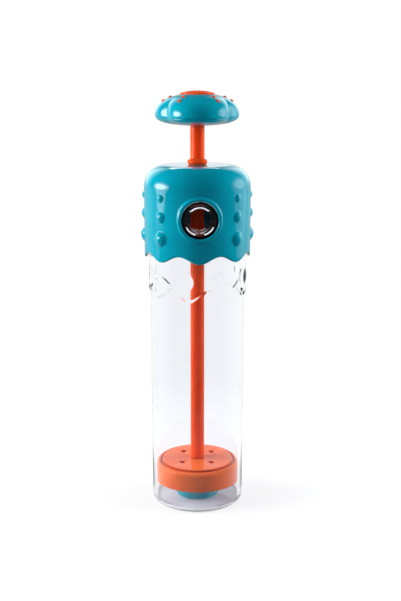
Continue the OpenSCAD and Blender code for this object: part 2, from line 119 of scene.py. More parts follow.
class BarrelSettings(bpy.types.PropertyGroup):
    """Sizes and tint of the clear barrel."""

    radius: length("Tube radius", "Outside radius of the tube", 30 * MM)
    wall: length("Wall", "Thickness of the tube's wall", 2.4 * MM)
    height: length("Height", "Height of the tube's rim", BARREL_HIGH.z)
    floor: length("Floor", "Height of the floor's upper face", 2.2 * MM)
    band_proud: length("Band", "How far the wave band stands off the tube", 1.1 * MM)
    band_low: length("Band low", "Height of the wave band's lowest points", 140 * MM)
    band_high: length("Band high", "Height of the wave band's upper edge", 168.1 * MM)
    band_step: length("Band step", "Run of the soft step at the band's edge", 2.5 * MM)
    wave_height: length("Wave height", "Height of the band's waves", 6 * MM)
    wave_turn: turn("Wave turn", "Turn of one of the band's lowest points", -12.5)
    bubble_z: length("Bubble height", "Height of the bubbles' middles", 152 * MM)
    bubble_rise: length("Bubble rise", "How far a bubble stands off the band", 0.7 * MM)
    bubble_radius: length("Bubble radius", "Radius of a large bubble", 4.8 * MM)
    bubble_turn: turn("Bubble turn", "Turn of the first large bubble", -15.5)
    small_radius: length("Small bubble radius", "Radius of a small bubble", 2.7 * MM)
    small_turn: turn("Small bubble turn", "Turn of the first small bubble", 29.5)
    window_radius: length("Window radius", "Radius of an outlet window in the neck", 8.6 * MM)
    window_z: length("Window height", "Height of the outlet windows' middles", 190.8 * MM)
    clear: tint("Clear tint", "Tint of the clear plastic", (0.96, 0.97, 0.988, 1.0))
    clear_deep: tint("Clear deep tint", "Tint where the plastic is cloudier", (0.948, 0.96, 0.982, 1.0))
    # Painted highlight: the white of the thin tubes that stand in for the lamps' reflections on the nozzle's
    # pocket walls.
    frosted: tint("Frosted tint", "Colour of the nozzle's frosted edges", screen_colour(244, 246, 250))
    # Painted light: pale tones of the opaque foot underside that stands in for the lit floor seen through the
    # clear foot; the two tones vary at random.
    scuffed: tint("Scuffed tint", "Colour of the foot's scuffed underside", screen_colour(243, 244, 248))
    scuffed_deep: tint("Scuffed deep tint", "Greyer tone of the foot", screen_colour(230, 231, 237))


class CapSettings(bpy.types.PropertyGroup):
    """Sizes and colours of the turning cap."""

    radius: length("Radius", "Outside radius of the cap", 33.6 * MM)
    wall: length("Wall", "Thickness of the cap's wall", 2 * MM)
    top_z: length("Top", "Height of the cap's flat top", CAP_HIGH.z)
    skirt_z: length("Skirt tips", "Height of the skirt's lowest points", CAP_LOW.z)
    scallop: length("Scallop", "Height of the skirt's scallops", 4.4 * MM)
    shoulder: length("Shoulder", "Radius of the rounded shoulder", 13.5 * MM)
    rod_hole: length("Rod hole", "Radius of the hole for the rod", 5 * MM)
    port_z: length("Port height", "Height of the spout port's middle", 190.8 * MM)
    port_radius: length("Port radius", "Radius of the spout port's opening", 11.3 * MM)
    ring_radius: length("Ring radius", "Outside radius of the raised port ring", 13.6 * MM)
    ring_reach: length("Ring reach", "Distance of the ring's crest from the axis", -CAP_LOW.y)
    ring_foot: length("Ring foot", "Radius of the fillet at the ring's foot", 1.2 * MM)
    colour: tint("Colour", "Colour of the cap and the handle", screen_colour(4, 160, 178))
    deep: tint("Deep colour", "Darker tone of the cap and the handle", screen_colour(2, 146, 166))


class NozzleSettings(bpy.types.PropertyGroup):
    """Sizes of the clear nozzle ring in the port."""

    bore: length("Bore", "Radius of the water's way out", 7 * MM)
    radius: length("Radius", "Outside radius of the ring", NOZZLE_HIGH.x)
    front: length("Front", "Distance of the ring's face from the axis", -NOZZLE_LOW.y)
    back: length("Back", "Distance of the ring's back from the axis", -NOZZLE_HIGH.y)
    pocket_radius: length("Pocket radius", "Radius of the pockets' middle line", 8.15 * MM)
    pocket_width: length("Pocket width", "Width of a pocket", 1.7 * MM)
    pocket_depth: length("Pocket depth", "Depth of a pocket", 0.3 * MM)
    # Width of the painted highlight tubes along the nozzle's pocket edges.
    edge_width: length("Edge width", "Width of the frosted edge of a pocket", 0.9 * MM)
    pocket_spread: turn("Pocket spread", "Half the angle that a pocket's middle line spans", 35)


class PlungerSettings(bpy.types.PropertyGroup):
    """Sizes and colours of the rod, the piston and the valves."""

    rod_radius: length("Rod radius", "Radius of the rod", 4.5 * MM)
    collar_radius: length("Collar radius", "Radius of the stop collar", ROD_HIGH.x)
    collar_z: length("Collar", "Height of the stop collar's underside", 221.6 * MM)
    collar_height: length("Collar height", "Height of the stop collar", 3.4 * MM)
    plate_radius: length("Plate radius", "Radius of the piston's top plate", PLATE_HIGH.x)
    hole_radius: length("Hole radius", "Radius of a water hole in the plate", 2.1 * MM)
    hole_ring: length("Hole ring", "Radius of the ring of water holes", 13.5 * MM)
    cup_radius: length("Cup radius", "Outside radius of the soft cup", CUP_HIGH.x)
    cup_wall: length("Cup wall", "Thickness of the soft cup's wall", 3.1 * MM)
    rod_colour: tint("Rod colour", "Colour of the rod and the button", screen_colour(240, 90, 22))
    rod_deep: tint("Rod deep colour", "Darker tone of the rod", screen_colour(232, 76, 18))
    plate_colour: tint("Plate colour", "Colour of the piston's plate", screen_colour(244, 110, 52))
    plate_deep: tint("Plate deep colour", "Darker tone of the plate", screen_colour(236, 96, 40))
    cup_colour: tint("Cup colour", "Colour of the soft cup", screen_colour(248, 112, 36))
    cup_deep: tint("Cup deep colour", "Darker tone of the soft cup", screen_colour(242, 98, 28))
    rubber: tint("Rubber colour", "Colour of the seals", screen_colour(36, 39, 43))
    rubber_deep: tint("Rubber deep colour", "Darker tone of the seals", screen_colour(26, 29, 33))
    natural: tint("Natural colour", "Colour of the uncoloured plastic", screen_colour(226, 220, 204))
    natural_deep: tint(
        "Natural deep colour", "Darker tone of the uncoloured plastic", screen_colour(214, 207, 188))
    steel: tint("Steel colour", "Colour of the screws and the clip", screen_colour(186, 188, 192))
    steel_deep: tint("Steel deep colour", "Darker tone of the steel", screen_colour(164, 167, 172))


class HandleSettings(bpy.types.PropertyGroup):
    """Sizes of the three-lobed handle."""

    lobe_offset: length("Lobe offset", "Distance of a lobe's axis from the rod's", 8.6 * MM)
    lobe_radius: length("Lobe radius", "Radius of a lobe", SHELL_HIGH.x - 7.4 * MM)
    dome_power: amount("Dome power", "How boxy the dome's profile is; 2 is an ellipse", 2.2)
    belly_power: amount("Belly power", "How boxy the underside's profile is; 2 is an ellipse", 2.45)
    low_z: length("Low", "Height of the handle's underside", BASE_LOW.z - 0.5 * MM)
    split_z: length("Split", "Height of the line between base and shell", BASE_HIGH.z)
    wide_z: length("Widest", "Height at which the handle is widest", BASE_LOW.z + 6.2 * MM)
    top_z: length("Top", "Height of the lobes' tops", BASE_LOW.z + 19.4 * MM)
    wall: length("Wall", "Thickness of the shell", 2 * MM)
    crease: length("Crease", "Softness of the creases between the lobes", 0.5 * MM)
    button_radius: length("Button radius", "Radius of the button", BUTTON_HIGH.x)
    nub_inner_ring: length("Nub inner ring", "Radius of the inner ring of nubs", 16.9 * MM)
    nub_outer_ring: length("Nub outer ring", "Radius of the outer ring of nubs", 21.2 * MM)
    nub_turn: turn("Nub turn", "Angle between a crease and the nubs beside it", 27)
    nub_radius: length("Nub radius", "Radius of a nub", 1.25 * MM)
    nub_rise: length("Nub rise", "How far a nub stands off the shell", 0.85 * MM)


class StageSettings(bpy.types.PropertyGroup):
    """Levels of the studio light."""

    left_core: amount("Left core", "Radiance of the bright middle of the round lamp on the left", 8.5)
    left_halo: amount("Left halo", "Radiance of the softer rim of the round lamp on the left", 3.0)
    left_low: amount("Left low", "Radiance of the small lamp low on the left", 0.5)
    left_fill: amount("Left fill", "Radiance of the lamp on the left that leaves no highlight", 6.5)
    right_core: amount("Right core", "Radiance of the bright middle of the round lamp on the right", 1.7)
    right_halo: amount("Right halo", "Radiance of the softer rim of the round lamp on the right", 0.7)
    right_fill: amount("Right fill", "Radiance of the lamp on the right that leaves no highlight", 7.5)
    back_panel: amount("Back panel", "Radiance of the panel behind that brightens the cap's shoulder", 4.2)
    top_fill: amount("Top fill", "Radiance of the lamp above that leaves no highlight", 2.5)
    ambient: tint("Ambient", "Colour and level of the room's light", (0.24, 0.26, 0.32, 1.0))
    front: amount("Front", "How bright clear pieces mirror the room behind the camera", 0.05)
    front_inside: amount(
        "Front inside", "How bright the room behind the camera is by way of a clear wall", 0.25)
    # This lamp lights only the painted highlight tubes on the nozzle's face.
    port_level: amount("Port lamp", "Radiance of the lamp that picks out the pockets' edges", 3.0)
    floor_glow: amount("Floor glow", "How much the floor is lifted towards white", 0.68)


# Mesh helpers

def around(radius, angle, height):
    """Point at a radius from the Z axis, a turn from the front and a height."""
    return Vector((radius * math.sin(angle), -radius * math.cos(angle), height))


def turns_of(count):
    """Even turns once around, from the front."""
    return [math.tau * k / count for k in range(count)]


def ease(x):
    """Smooth step from 0 to 1."""
    x = min(1.0, max(0.0, x))
    return x * x * (3 - 2 * x)


def blend(a, b, part):
    """Value between a and b."""
    return a + (b - a) * part


def soft_max(a, b, reach):
    """The larger of two values, rounded over where they differ by less than reach."""
    near = max(reach - abs(a - b), 0.0) / reach
    return max(a, b) + near * near * reach / 4


def steps(count):
    """Even parts from 0 to 1, both included."""
    return [i / count for i in range(count + 1)]


def arc(centre, radius, start, end, count):
    """Points (radius, height) along an arc, from one angle in degrees to another."""
    angles = [math.radians(blend(start, end, part)) for part in steps(count)]
    return [(centre[0] + radius * math.cos(a), centre[1] + radius * math.sin(a)) for a in angles]


def soft_outline(corners, count=6):
    """Closed outline through corners (radius, height, rounding), with each corner rounded off."""
    outline = []
    for i, (radius, height, rounding) in enumerate(corners):
        here = Vector((radius, height))
        if rounding == 0:
            outline.append((radius, height))
            continue
        back = (Vector(corners[i - 1][:2]) - here).normalized()
        ahead = (Vector(corners[(i + 1) % len(corners)][:2]) - here).normalized()
        half = back.angle(ahead) / 2
        run = rounding / math.tan(half)
        centre = here + (back + ahead).normalized() * (rounding / math.sin(half))
        first = here + back * run - centre
        last = here + ahead * run - centre
        for part in steps(count):
            outline.append(tuple(centre + first.lerp(last, part).normalized() * rounding))
    return outline


def skin(rings, loop=True):
    """Surface over rings of points, joined end to end if it is a loop; a ring of one point is a pole."""
    shape = bmesh.new()
    loops = [[shape.verts.new(point) for point in ring] for ring in rings]
    pairs = list(zip(loops, loops[1:]))
    if loop:
        pairs.append((loops[-1], loops[0]))
    for low, high in pairs:
        count = max(len(low), len(high))
        if count == 1:
            continue
        for k in range(count):
            places = ((low, k), (low, k + 1), (high, k + 1), (high, k))
            corners = [ring[place % len(ring)] for ring, place in places]
            shape.faces.new(list(dict.fromkeys(corners)))
    bmesh.ops.recalc_face_normals(shape, faces=shape.faces)
    return shape


def uneven_ring(radius, heights):
    """Ring of points about the Z axis, with a height for each turn."""
    return [around(radius, a, z) for a, z in zip(turns_of(len(heights)), heights)]


def ring_of(radius, height, count=TURNS):
    """Level ring of points about the Z axis, or a pole on it."""
    if radius == 0.0:
        return [Vector((0.0, 0.0, height))]
    return uneven_ring(radius, [height] * count)


def lathe(outline):
    """Outline of (radius, height) points spun about the Z axis."""
    return skin([ring_of(radius, height) for radius, height in outline])


def shaded(mesh, sharp=SHARP):
    """The mesh, smooth but for edges sharper than an angle in degrees."""
    mesh.shade_smooth()
    mesh.set_sharp_from_angle(angle=math.radians(sharp))
    return mesh


def smooth_mesh(shape, name, sharp=SHARP):
    """Plain mesh of a shape, smooth but for its sharp edges; the shape is freed."""
    mesh = bpy.data.meshes.new(name)
    shape.to_mesh(mesh)
    shape.free()
    return shaded(mesh, sharp)


def turned(name, corners, sharp=50, count=6):
    """Plain mesh of a turned piece, from its corners (radius, height, rounding)."""
    return smooth_mesh(lathe(soft_outline(corners, count)), name, sharp)


def baked(thing):
    """Plain mesh of an object with its modifiers; the object is removed."""
    bpy.context.view_layer.update()
    depsgraph = bpy.context.evaluated_depsgraph_get()
    mesh = bpy.data.meshes.new_from_object(thing.evaluated_get(depsgraph), depsgraph=depsgraph)
    bpy.data.objects.remove(thing)
    return mesh


def loose(name, mesh):
    """Object that carries a mesh, linked to the scene."""
    thing = bpy.data.objects.new(name, mesh)
    bpy.context.scene.collection.objects.link(thing)
    return thing


def cut_away(mesh, cutter, name, bevel=0.0):
    """Mesh less the cutter's solids; a bevel rounds the edges that are sharper than a limit."""
    body = loose(name, mesh)
    tool = loose(name + "_cutter", smooth_mesh(cutter, name + "_cutter"))
    cut = body.modifiers.new("Cut", "BOOLEAN")
    cut.operation = "DIFFERENCE"
    cut.solver = "EXACT"
    cut.object = tool
    if bevel:
        edge = body.modifiers.new("Edge", "BEVEL")
        edge.width = bevel
        edge.segments = 2
        edge.limit_method = "ANGLE"
        edge.angle_limit = math.radians(50)
    result = baked(body)
    bpy.data.objects.remove(tool)
    return shaded(result)


def drill(shape, start, direction, radius, depth, sides=64):
    """Adds a round bar to a cutter's shape, from a start point along a direction."""
    direction = Vector(direction).normalized()
    middle = Vector(start) + direction * depth / 2
    pose = Matrix.Translation(middle) @ direction.to_track_quat("Z", "Y").to_matrix().to_4x4()
    bmesh.ops.create_cone(
        shape, cap_ends=True, segments=sides, radius1=radius, radius2=radius, depth=depth, matrix=pose)


def joined(*meshes):
    """One mesh out of several, which are removed."""
    shape = bmesh.new()
    for mesh in meshes:
        shape.from_mesh(mesh)
    result = meshes[0].copy()
    shape.to_mesh(result)
    shape.free()
    for mesh in meshes:
        bpy.data.meshes.remove(mesh)
    return result


def place(name, mesh, finish, body, slot, node):
    """Piece with a named finish that rides on a body and stands for a CAD node."""
    mesh.name = name
    mesh.materials.clear()
    mesh.materials.append(finish_of(finish))
    piece = loose(name, mesh)
    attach(piece, body)
    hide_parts(node)


# Node helpers

class Wiring:
    """Adds nodes to a tree and links them in few words."""

    def __init__(self, tree):
        self.tree = tree

    def node(self, kind, **values):
        """New node with its settings."""
        made = self.tree.nodes.new(kind)
        for key, value in values.items():
            setattr(made, key, value)
        return made

    def feed(self, socket, value):
        """Links an output to a socket, or sets the socket's own value."""
        if isinstance(value, bpy.types.NodeSocket):
            self.tree.links.new(value, socket)
        else:
            socket.default_value = value

    def fill(self, made, values):
        """Feeds a node's named inputs."""
        for name, value in values.items():
            self.feed(made.inputs[name], value)

    def math(self, operation, *values):
        """Output of a math node."""
        made = self.node("ShaderNodeMath", operation=operation)
        for socket, value in zip(made.inputs, values):
            self.feed(socket, value)
        return made.outputs[0]

    def ramp(self, value, low, high, to_low=0.0, to_high=1.0):
        """Value mapped from one range to another, and held inside it."""
        made = self.node("ShaderNodeMapRange", clamp=True)
        self.fill(made, {
            "Value": value, "From Min": low, "From Max": high, "To Min": to_low, "To Max": to_high,
        })
        return made.outputs["Result"]

    def noise(self, vector, scale, detail=2.0, roughness=0.5):
        """Level of a noise texture, from 0 to 1."""
        made = self.node("ShaderNodeTexNoise")
        self.fill(made, {"Vector": vector, "Scale": scale, "Detail": detail, "Roughness": roughness})
        return made.outputs["Fac"]

    def stretched(self, vector, scale):
        """Vector scaled along its axes."""
        made = self.node("ShaderNodeMapping", vector_type="POINT")
        self.fill(made, {"Vector": vector, "Scale": scale})
        return made.outputs["Vector"]

    def colours(self, part, first, second):
        """Colour between two colours."""
        made = self.node("ShaderNodeMix", data_type="RGBA")
        self.feed(made.inputs["Factor"], part)
        self.feed(made.inputs[6], first)
        self.feed(made.inputs[7], second)
        return made.outputs[2]

    def relief(self, height, strength, distance):
        """Normal of a surface with fine bumps."""
        made = self.node("ShaderNodeBump")
        self.fill(made, {"Strength": strength, "Distance": distance, "Height": height})
        return made.outputs["Normal"]

    def group(self, make, values):
        """Node that places a shader group with its own values."""
        made = self.node("ShaderNodeGroup", node_tree=shared_group(make))
        self.fill(made, values)
        return made


def shared_group(make):
    """The node group that a function makes, made the first time and kept under the function's name."""
    name = make.__name__.replace("_", " ").capitalize()
    if name not in bpy.data.node_groups:
        make(name)
    return bpy.data.node_groups[name]


def new_group(name, kind, inputs, outputs):
    """Node group with named sockets, and its wiring, input node and output node."""
    tree = bpy.data.node_groups.new(name, kind)
    for socket_name, socket_type, default in inputs:
        socket = tree.interface.new_socket(socket_name, in_out="INPUT", socket_type=socket_type)
        if default is not None:
            socket.default_value = default
    for socket_name, socket_type in outputs:
        tree.interface.new_socket(socket_name, in_out="OUTPUT", socket_type=socket_type)
    wiring = Wiring(tree)
    return wiring, wiring.node("NodeGroupInput"), wiring.node("NodeGroupOutput")


def moulded_skin(name):
    """Shader group: cloudy tone, gloss mottling and fine surface grain of moulded plastic."""
    wiring, given, made = new_group(
        name, "ShaderNodeTree",
        [("Grain scale", "NodeSocketFloat", 1400.0), ("Cloud scale", "NodeSocketFloat", 45.0)],
        [("Tone", "NodeSocketFloat"), ("Gloss", "NodeSocketFloat"), ("Height", "NodeSocketFloat")])
    spot = wiring.node("ShaderNodeTexCoord").outputs["Object"]
    cloud = wiring.noise(spot, given.outputs["Cloud scale"], 3.0)
    mottle = wiring.noise(spot, wiring.math("MULTIPLY", given.outputs["Cloud scale"], 6.0), 2.0)
    grain = wiring.noise(spot, given.outputs["Grain scale"], 2.0, 0.6)
    swell = wiring.noise(spot, wiring.math("MULTIPLY", given.outputs["Cloud scale"], 2.5), 1.0)
    wiring.fill(made, {
        "Tone": wiring.ramp(cloud, 0.3, 0.7), "Gloss": wiring.ramp(mottle, 0.3, 0.7),
        "Height": wiring.math("MULTIPLY_ADD", grain, 0.3, swell),
    })


def handling_marks(name):
    """Shader group: mask of the hairline rubs that handling leaves, in patches and mostly upright."""
    wiring, given, made = new_group(
        name, "ShaderNodeTree",
        [("Scale", "NodeSocketFloat", 160.0), ("Amount", "NodeSocketFloat", 0.3)],
        [("Marks", "NodeSocketFloat")])
    spot = wiring.node("ShaderNodeTexCoord").outputs["Object"]
    lines = wiring.node("ShaderNodeTexVoronoi", feature="DISTANCE_TO_EDGE")
    upright = wiring.stretched(spot, (1.0, 1.0, 0.16))
    wiring.fill(lines, {"Vector": upright, "Scale": given.outputs["Scale"]})
    hairline = wiring.ramp(lines.outputs["Distance"], 0.0, 0.012, 1.0, 0.0)
    patches = wiring.ramp(wiring.noise(spot, 70.0, 2.0), 0.5, 0.72)
    kept = wiring.math("MULTIPLY", hairline, patches)
    wiring.feed(made.inputs["Marks"], wiring.math("MULTIPLY", kept, given.outputs["Amount"]))


def drawn_streaks(name):
    """Shader group: mask of the faint upright streaks that the mould's draw leaves on a long piece."""
    wiring, given, made = new_group(
        name, "ShaderNodeTree", [("Scale", "NodeSocketFloat", 700.0)], [("Streaks", "NodeSocketFloat")])
    spot = wiring.node("ShaderNodeTexCoord").outputs["Object"]
    level = wiring.noise(wiring.stretched(spot, (1.0, 1.0, 0.02)), given.outputs["Scale"], 2.0)
    wiring.feed(made.inputs["Streaks"], wiring.ramp(level, 0.35, 0.65))


def blank_material(name):
    """Material with an empty node tree, its wiring and its output node."""
    material = bpy.data.materials.new(name)
    material.use_nodes = True
    material.node_tree.nodes.clear()
    wiring = Wiring(material.node_tree)
    return material, wiring, wiring.node("ShaderNodeOutputMaterial")


def moulded_finish(name, colour, deep, gloss, grain=1400.0, bump=0.05, coat=0.0, marks=0.3,
                   streaks=0.0, metal=0.0, sheen=0.0, specular=0.5, glow_depth=0.0):
    """Moulded finish: two tones, mottled gloss, fine grain and rubs; red light seeps to a glow depth."""
    material, wiring, output = blank_material(name)
    plastic = wiring.group(moulded_skin, {"Grain scale": grain, "Cloud scale": 45.0})
    rubs = wiring.group(handling_marks, {"Scale": 160.0, "Amount": marks})
    tone = plastic.outputs["Tone"]
    height = plastic.outputs["Height"]
    if streaks:
        lines = wiring.group(drawn_streaks, {"Scale": 700.0}).outputs["Streaks"]
        tone = wiring.math("MULTIPLY_ADD", lines, streaks, wiring.math("MULTIPLY", tone, 1 - streaks))
        height = wiring.math("MULTIPLY_ADD", lines, streaks, height)
    matt = wiring.ramp(plastic.outputs["Gloss"], 0.0, 1.0, gloss[0], gloss[1])
    surface = wiring.node("ShaderNodeBsdfPrincipled")
    wiring.fill(surface, {
        "Base Color": wiring.colours(tone, colour, deep),
        "Roughness": wiring.math("MULTIPLY_ADD", rubs.outputs["Marks"], 0.25, matt),
        "Normal": wiring.relief(height, bump, 0.2 * MM),
        "Metallic": metal, "Coat Weight": coat, "Coat Roughness": 0.03,
        "Sheen Weight": sheen, "Specular IOR Level": specular,
    })
    if glow_depth:
        wiring.fill(surface, {
            "Subsurface Weight": 1.0, "Subsurface Scale": glow_depth,
            "Subsurface Radius": (1.0, 0.14, 0.06),
        })
    wiring.feed(output.inputs["Surface"], surface.outputs["BSDF"])
    return material


def clear_finish(name, colour, deep, ior):
    """Clear moulded plastic that lets the lamps' light through."""
    material, wiring, output = blank_material(name)
    plastic = wiring.group(moulded_skin, {"Grain scale": 900.0, "Cloud scale": 28.0})
    rubs = wiring.group(handling_marks, {"Scale": 120.0, "Amount": 0.3})
    surface = wiring.node("ShaderNodeBsdfPrincipled")
    wiring.fill(surface, {
        "Base Color": wiring.colours(plastic.outputs["Tone"], colour, deep),
        "Roughness": wiring.math("MULTIPLY", rubs.outputs["Marks"], 0.06),
        "Normal": wiring.relief(plastic.outputs["Height"], 0.02, 0.1 * MM),
        "Transmission Weight": 1.0, "IOR": ior,
    })
    open_way = wiring.node("ShaderNodeBsdfTransparent")
    wiring.feed(open_way.inputs["Color"], colour)
    either = wiring.node("ShaderNodeMixShader")
    wiring.feed(either.inputs["Fac"], wiring.node("ShaderNodeLightPath").outputs["Is Shadow Ray"])
    wiring.feed(either.inputs[1], surface.outputs["BSDF"])
    wiring.feed(either.inputs[2], open_way.outputs["BSDF"])
    wiring.feed(output.inputs["Surface"], either.outputs["Shader"])
    return material


# Each finish: the settings that hold its colours, the names there of its colour and its deeper tone,
# the function that makes it and that function's values
FINISHES = {
    "Clear plastic": ("squirter_barrel", "clear", "clear_deep", clear_finish, {"ior": 1.34}),
    # Painted highlight: pale matt finish of the tubes that stand in for reflections on the nozzle's pocket
    # walls.
    "Frosted plastic": ("squirter_barrel", "frosted", "clear_deep", moulded_finish, {
        "gloss": (0.35, 0.5), "grain": 1600.0, "bump": 0.12, "marks": 0.1}),
    # Painted light: opaque pale finish of the foot's underside, in place of the lit floor seen through the
    # clear foot.
    "Scuffed plastic": ("squirter_barrel", "scuffed", "scuffed_deep", moulded_finish, {
        "gloss": (0.4, 0.6), "grain": 900.0, "bump": 0.15, "marks": 0.5}),
    "Teal plastic": ("squirter_cap", "colour", "deep", moulded_finish, {
        "gloss": (0.05, 0.1), "bump": 0.015, "coat": 0.15}),
    "Orange plastic": ("squirter_plunger", "rod_colour", "rod_deep", moulded_finish, {
        "gloss": (0.3, 0.4), "streaks": 0.6, "specular": 0.2, "glow_depth": 6 * MM}),
    "Coral plastic": ("squirter_plunger", "plate_colour", "plate_deep", moulded_finish, {
        "gloss": (0.12, 0.2)}),
    "Orange rubber": ("squirter_plunger", "cup_colour", "cup_deep", moulded_finish, {
        "gloss": (0.42, 0.58), "grain": 1000.0, "bump": 0.22, "sheen": 0.1}),
    "Black rubber": ("squirter_plunger", "rubber", "rubber_deep", moulded_finish, {
        "gloss": (0.45, 0.65), "grain": 900.0, "bump": 0.25}),
    "Natural plastic": ("squirter_plunger", "natural", "natural_deep", moulded_finish, {
        "gloss": (0.25, 0.4), "grain": 1100.0, "bump": 0.1}),
    "Steel": ("squirter_plunger", "steel", "steel_deep", moulded_finish, {
        "gloss": (0.22, 0.36), "grain": 1800.0, "bump": 0.08, "metal": 1.0}),
}


def finish_of(name):
    """The named finish, made the first time that a piece asks for it."""
    if name in bpy.data.materials:
        return bpy.data.materials[name]
    owner, colour, deep, make, values = FINISHES[name]
    settings = getattr(bpy.context.scene, owner)
    return make(name, tuple(getattr(settings, colour)), tuple(getattr(settings, deep)), **values)


# Studs: domes in a row around the axis, made by Geometry Nodes

def stud_dome(wiring, value):
    """One stud: a ball's upper half is spread flat and raised to a dome, and its lower half ends the stem."""
    ball = wiring.node("GeometryNodeMeshUVSphere")
    wiring.fill(ball, {"Segments": 40, "Rings": 36})
    spot = wiring.node("ShaderNodeSeparateXYZ")
    wiring.feed(spot.inputs[0], wiring.node("GeometryNodeInputPosition").outputs[0])
    polar = wiring.math("ARCCOSINE", spot.outputs["Z"])
    out = wiring.math("PINGPONG", wiring.math("DIVIDE", polar, math.pi / 2), 1.0)
    upper = wiring.math("GREATER_THAN", spot.outputs["Z"], -0.001)
    past = wiring.math("POWER", wiring.math("MULTIPLY", out, STUD_REACH), 2.0)
    level = wiring.math("SUBTRACT", 1.0, past)
    dome = wiring.math("SMOOTH_MAX", wiring.math("MULTIPLY", value["Rise"], level), 0.0, value["Foot"])
    back = wiring.math("MULTIPLY", value["Stem"], -1.0)
    raised = wiring.math("ADD", wiring.math("MULTIPLY", dome, upper),
                         wiring.math("MULTIPLY", back, wiring.math("SUBTRACT", 1.0, upper)))
    flat = wiring.math("SQRT", wiring.math("ADD", wiring.math("POWER", spot.outputs["X"], 2.0),
                                           wiring.math("POWER", spot.outputs["Y"], 2.0)))
    spread = wiring.math("DIVIDE", wiring.math("MULTIPLY", out, value["Base radius"]),
                         wiring.math("MAXIMUM", flat, 1e-6))
    x = wiring.math("MULTIPLY", spot.outputs["X"], spread)
    y = wiring.math("MULTIPLY", spot.outputs["Y"], spread)
    sag = wiring.math("DIVIDE", wiring.math("POWER", x, 2.0),
                      wiring.math("MULTIPLY", value["Wall radius"], 2.0))
    domed = wiring.node("ShaderNodeCombineXYZ")
    wiring.fill(domed, {"X": x, "Y": y, "Z": wiring.math("SUBTRACT", raised, sag)})
    shaped = wiring.node("GeometryNodeSetPosition")
    wiring.fill(shaped, {"Geometry": ball.outputs["Mesh"], "Position": domed.outputs[0]})
    return shaped.outputs[0]


def stud_row(name):
    """Geometry group: domes in a row about the Z axis, with a soft foot on a round wall and a stem behind."""
    number = "NodeSocketFloat"
    wiring, given, made = new_group(
        name, "GeometryNodeTree",
        [("Count", "NodeSocketInt", 7), ("First turn", number, 0.0), ("Turn step", number, 0.0),
         ("Ring radius", number, 0.0), ("Height", number, 0.0), ("Lean", number, 0.0),
         ("Base radius", number, 0.0), ("Rise", number, 0.0), ("Foot", number, 0.0),
         ("Wall radius", number, 1.0), ("Stem", number, 0.0), ("Finish", "NodeSocketMaterial", None)],
        [("Geometry", "NodeSocketGeometry")])
    value = given.outputs
    angle = wiring.math("MULTIPLY_ADD", wiring.node("GeometryNodeInputIndex").outputs[0],
                        value["Turn step"], value["First turn"])
    toward = wiring.math("MULTIPLY", wiring.math("COSINE", angle), value["Ring radius"])
    seat = wiring.node("ShaderNodeCombineXYZ")
    wiring.fill(seat, {
        "X": wiring.math("MULTIPLY", wiring.math("SINE", angle), value["Ring radius"]),
        "Y": wiring.math("MULTIPLY", toward, -1.0), "Z": value["Height"],
    })
    points = wiring.node("GeometryNodePoints")
    wiring.fill(points, {"Count": value["Count"], "Position": seat.outputs[0]})
    facing = wiring.node("ShaderNodeCombineXYZ")
    wiring.fill(facing, {"X": wiring.math("SUBTRACT", math.pi / 2, value["Lean"]), "Z": angle})
    heading = wiring.node("FunctionNodeEulerToRotation")
    wiring.feed(heading.inputs[0], facing.outputs[0])
    row = wiring.node("GeometryNodeInstanceOnPoints")
    wiring.fill(row, {
        "Points": points.outputs[0], "Instance": stud_dome(wiring, value), "Rotation": heading.outputs[0],
    })
    real = wiring.node("GeometryNodeRealizeInstances")
    wiring.feed(real.inputs[0], row.outputs[0])
    finished = wiring.node("GeometryNodeSetMaterial")
    wiring.fill(finished, {"Geometry": real.outputs[0], "Material": value["Finish"]})
    wiring.feed(made.inputs["Geometry"], finished.outputs[0])


def studs(name, finish, rows):
    """Plain mesh of several stud rows, each given by its group's input values."""
    tree = shared_group(stud_row)
    sockets = {item.name: item.identifier for item in tree.interface.items_tree if item.in_out == "INPUT"}
    meshes = []
    for i, values in enumerate(rows):
        carrier = loose(f"{name}_row{i}", bpy.data.meshes.new(f"{name}_row{i}"))
        modifier = carrier.modifiers.new("Studs", "NODES")
        modifier.node_group = tree
        for key, value in values.items():
            modifier[sockets[key]] = value
        modifier[sockets["Finish"]] = finish_of(finish)
        meshes.append(baked(carrier))
    mesh = joined(*meshes)
    mesh.shade_smooth()
    return mesh


# Barrel

def band_edge(angle, s):
    """Height of the wave band's lower edge at a turn."""
    return s.band_low + s.wave_height * (0.5 - 0.5 * math.cos(SCALLOPS * (angle - s.wave_turn)))


def bubble_lift(angle, z, s):
    """How far the bubbles, four large and four small ones, raise the band at a place."""
    quarter = math.tau / 4
    softness = 0.12 * MM
    lift = 0.0
    for first, size in ((s.bubble_turn, s.bubble_radius), (s.small_turn, s.small_radius)):
        across = (angle - first + quarter / 2) % quarter - quarter / 2
        gap = ((across * (s.radius + s.band_proud)) ** 2 + (z - s.bubble_z) ** 2) / size ** 2
        lift = max(lift, soft_max(s.bubble_rise * (1 - gap), 0.0, softness))
    return lift


def wall_radius(angle, z, s):
    """Outside radius of the barrel at a place."""
    upper_step = 0.8 * MM
    step = ease((z - band_edge(angle, s)) / s.band_step + 0.5)
    fade = 1 - ease((z - s.band_high) / upper_step + 1)
    return s.radius + s.band_proud * step * fade + bubble_lift(angle, z, s)


def wall_heights(angle, s):
    """Heights of the rows up the outer wall at a turn, closest at the band's edges and the bubbles."""
    edge = band_edge(angle, s)
    half = 0.6 * s.band_step
    margin = 0.4 * MM
    bubbles_low = s.bubble_z - s.bubble_radius - margin
    bubbles_high = s.bubble_z + s.bubble_radius + margin
    fade_low = s.band_high - 1 * MM
    fade_high = s.band_high + 0.2 * MM
    heights = [z * MM for z in (20, 60, 100, 130)]
    heights += [edge + blend(-half, half, part) for part in steps(12)]
    for low, high, count in (
            (edge + half, bubbles_low, 6), (bubbles_low, bubbles_high, 30),
            (bubbles_high, fade_low, 5), (fade_low, fade_high, 5)):
        heights += [blend(low, high, part) for part in steps(count)[1:]]
    return heights


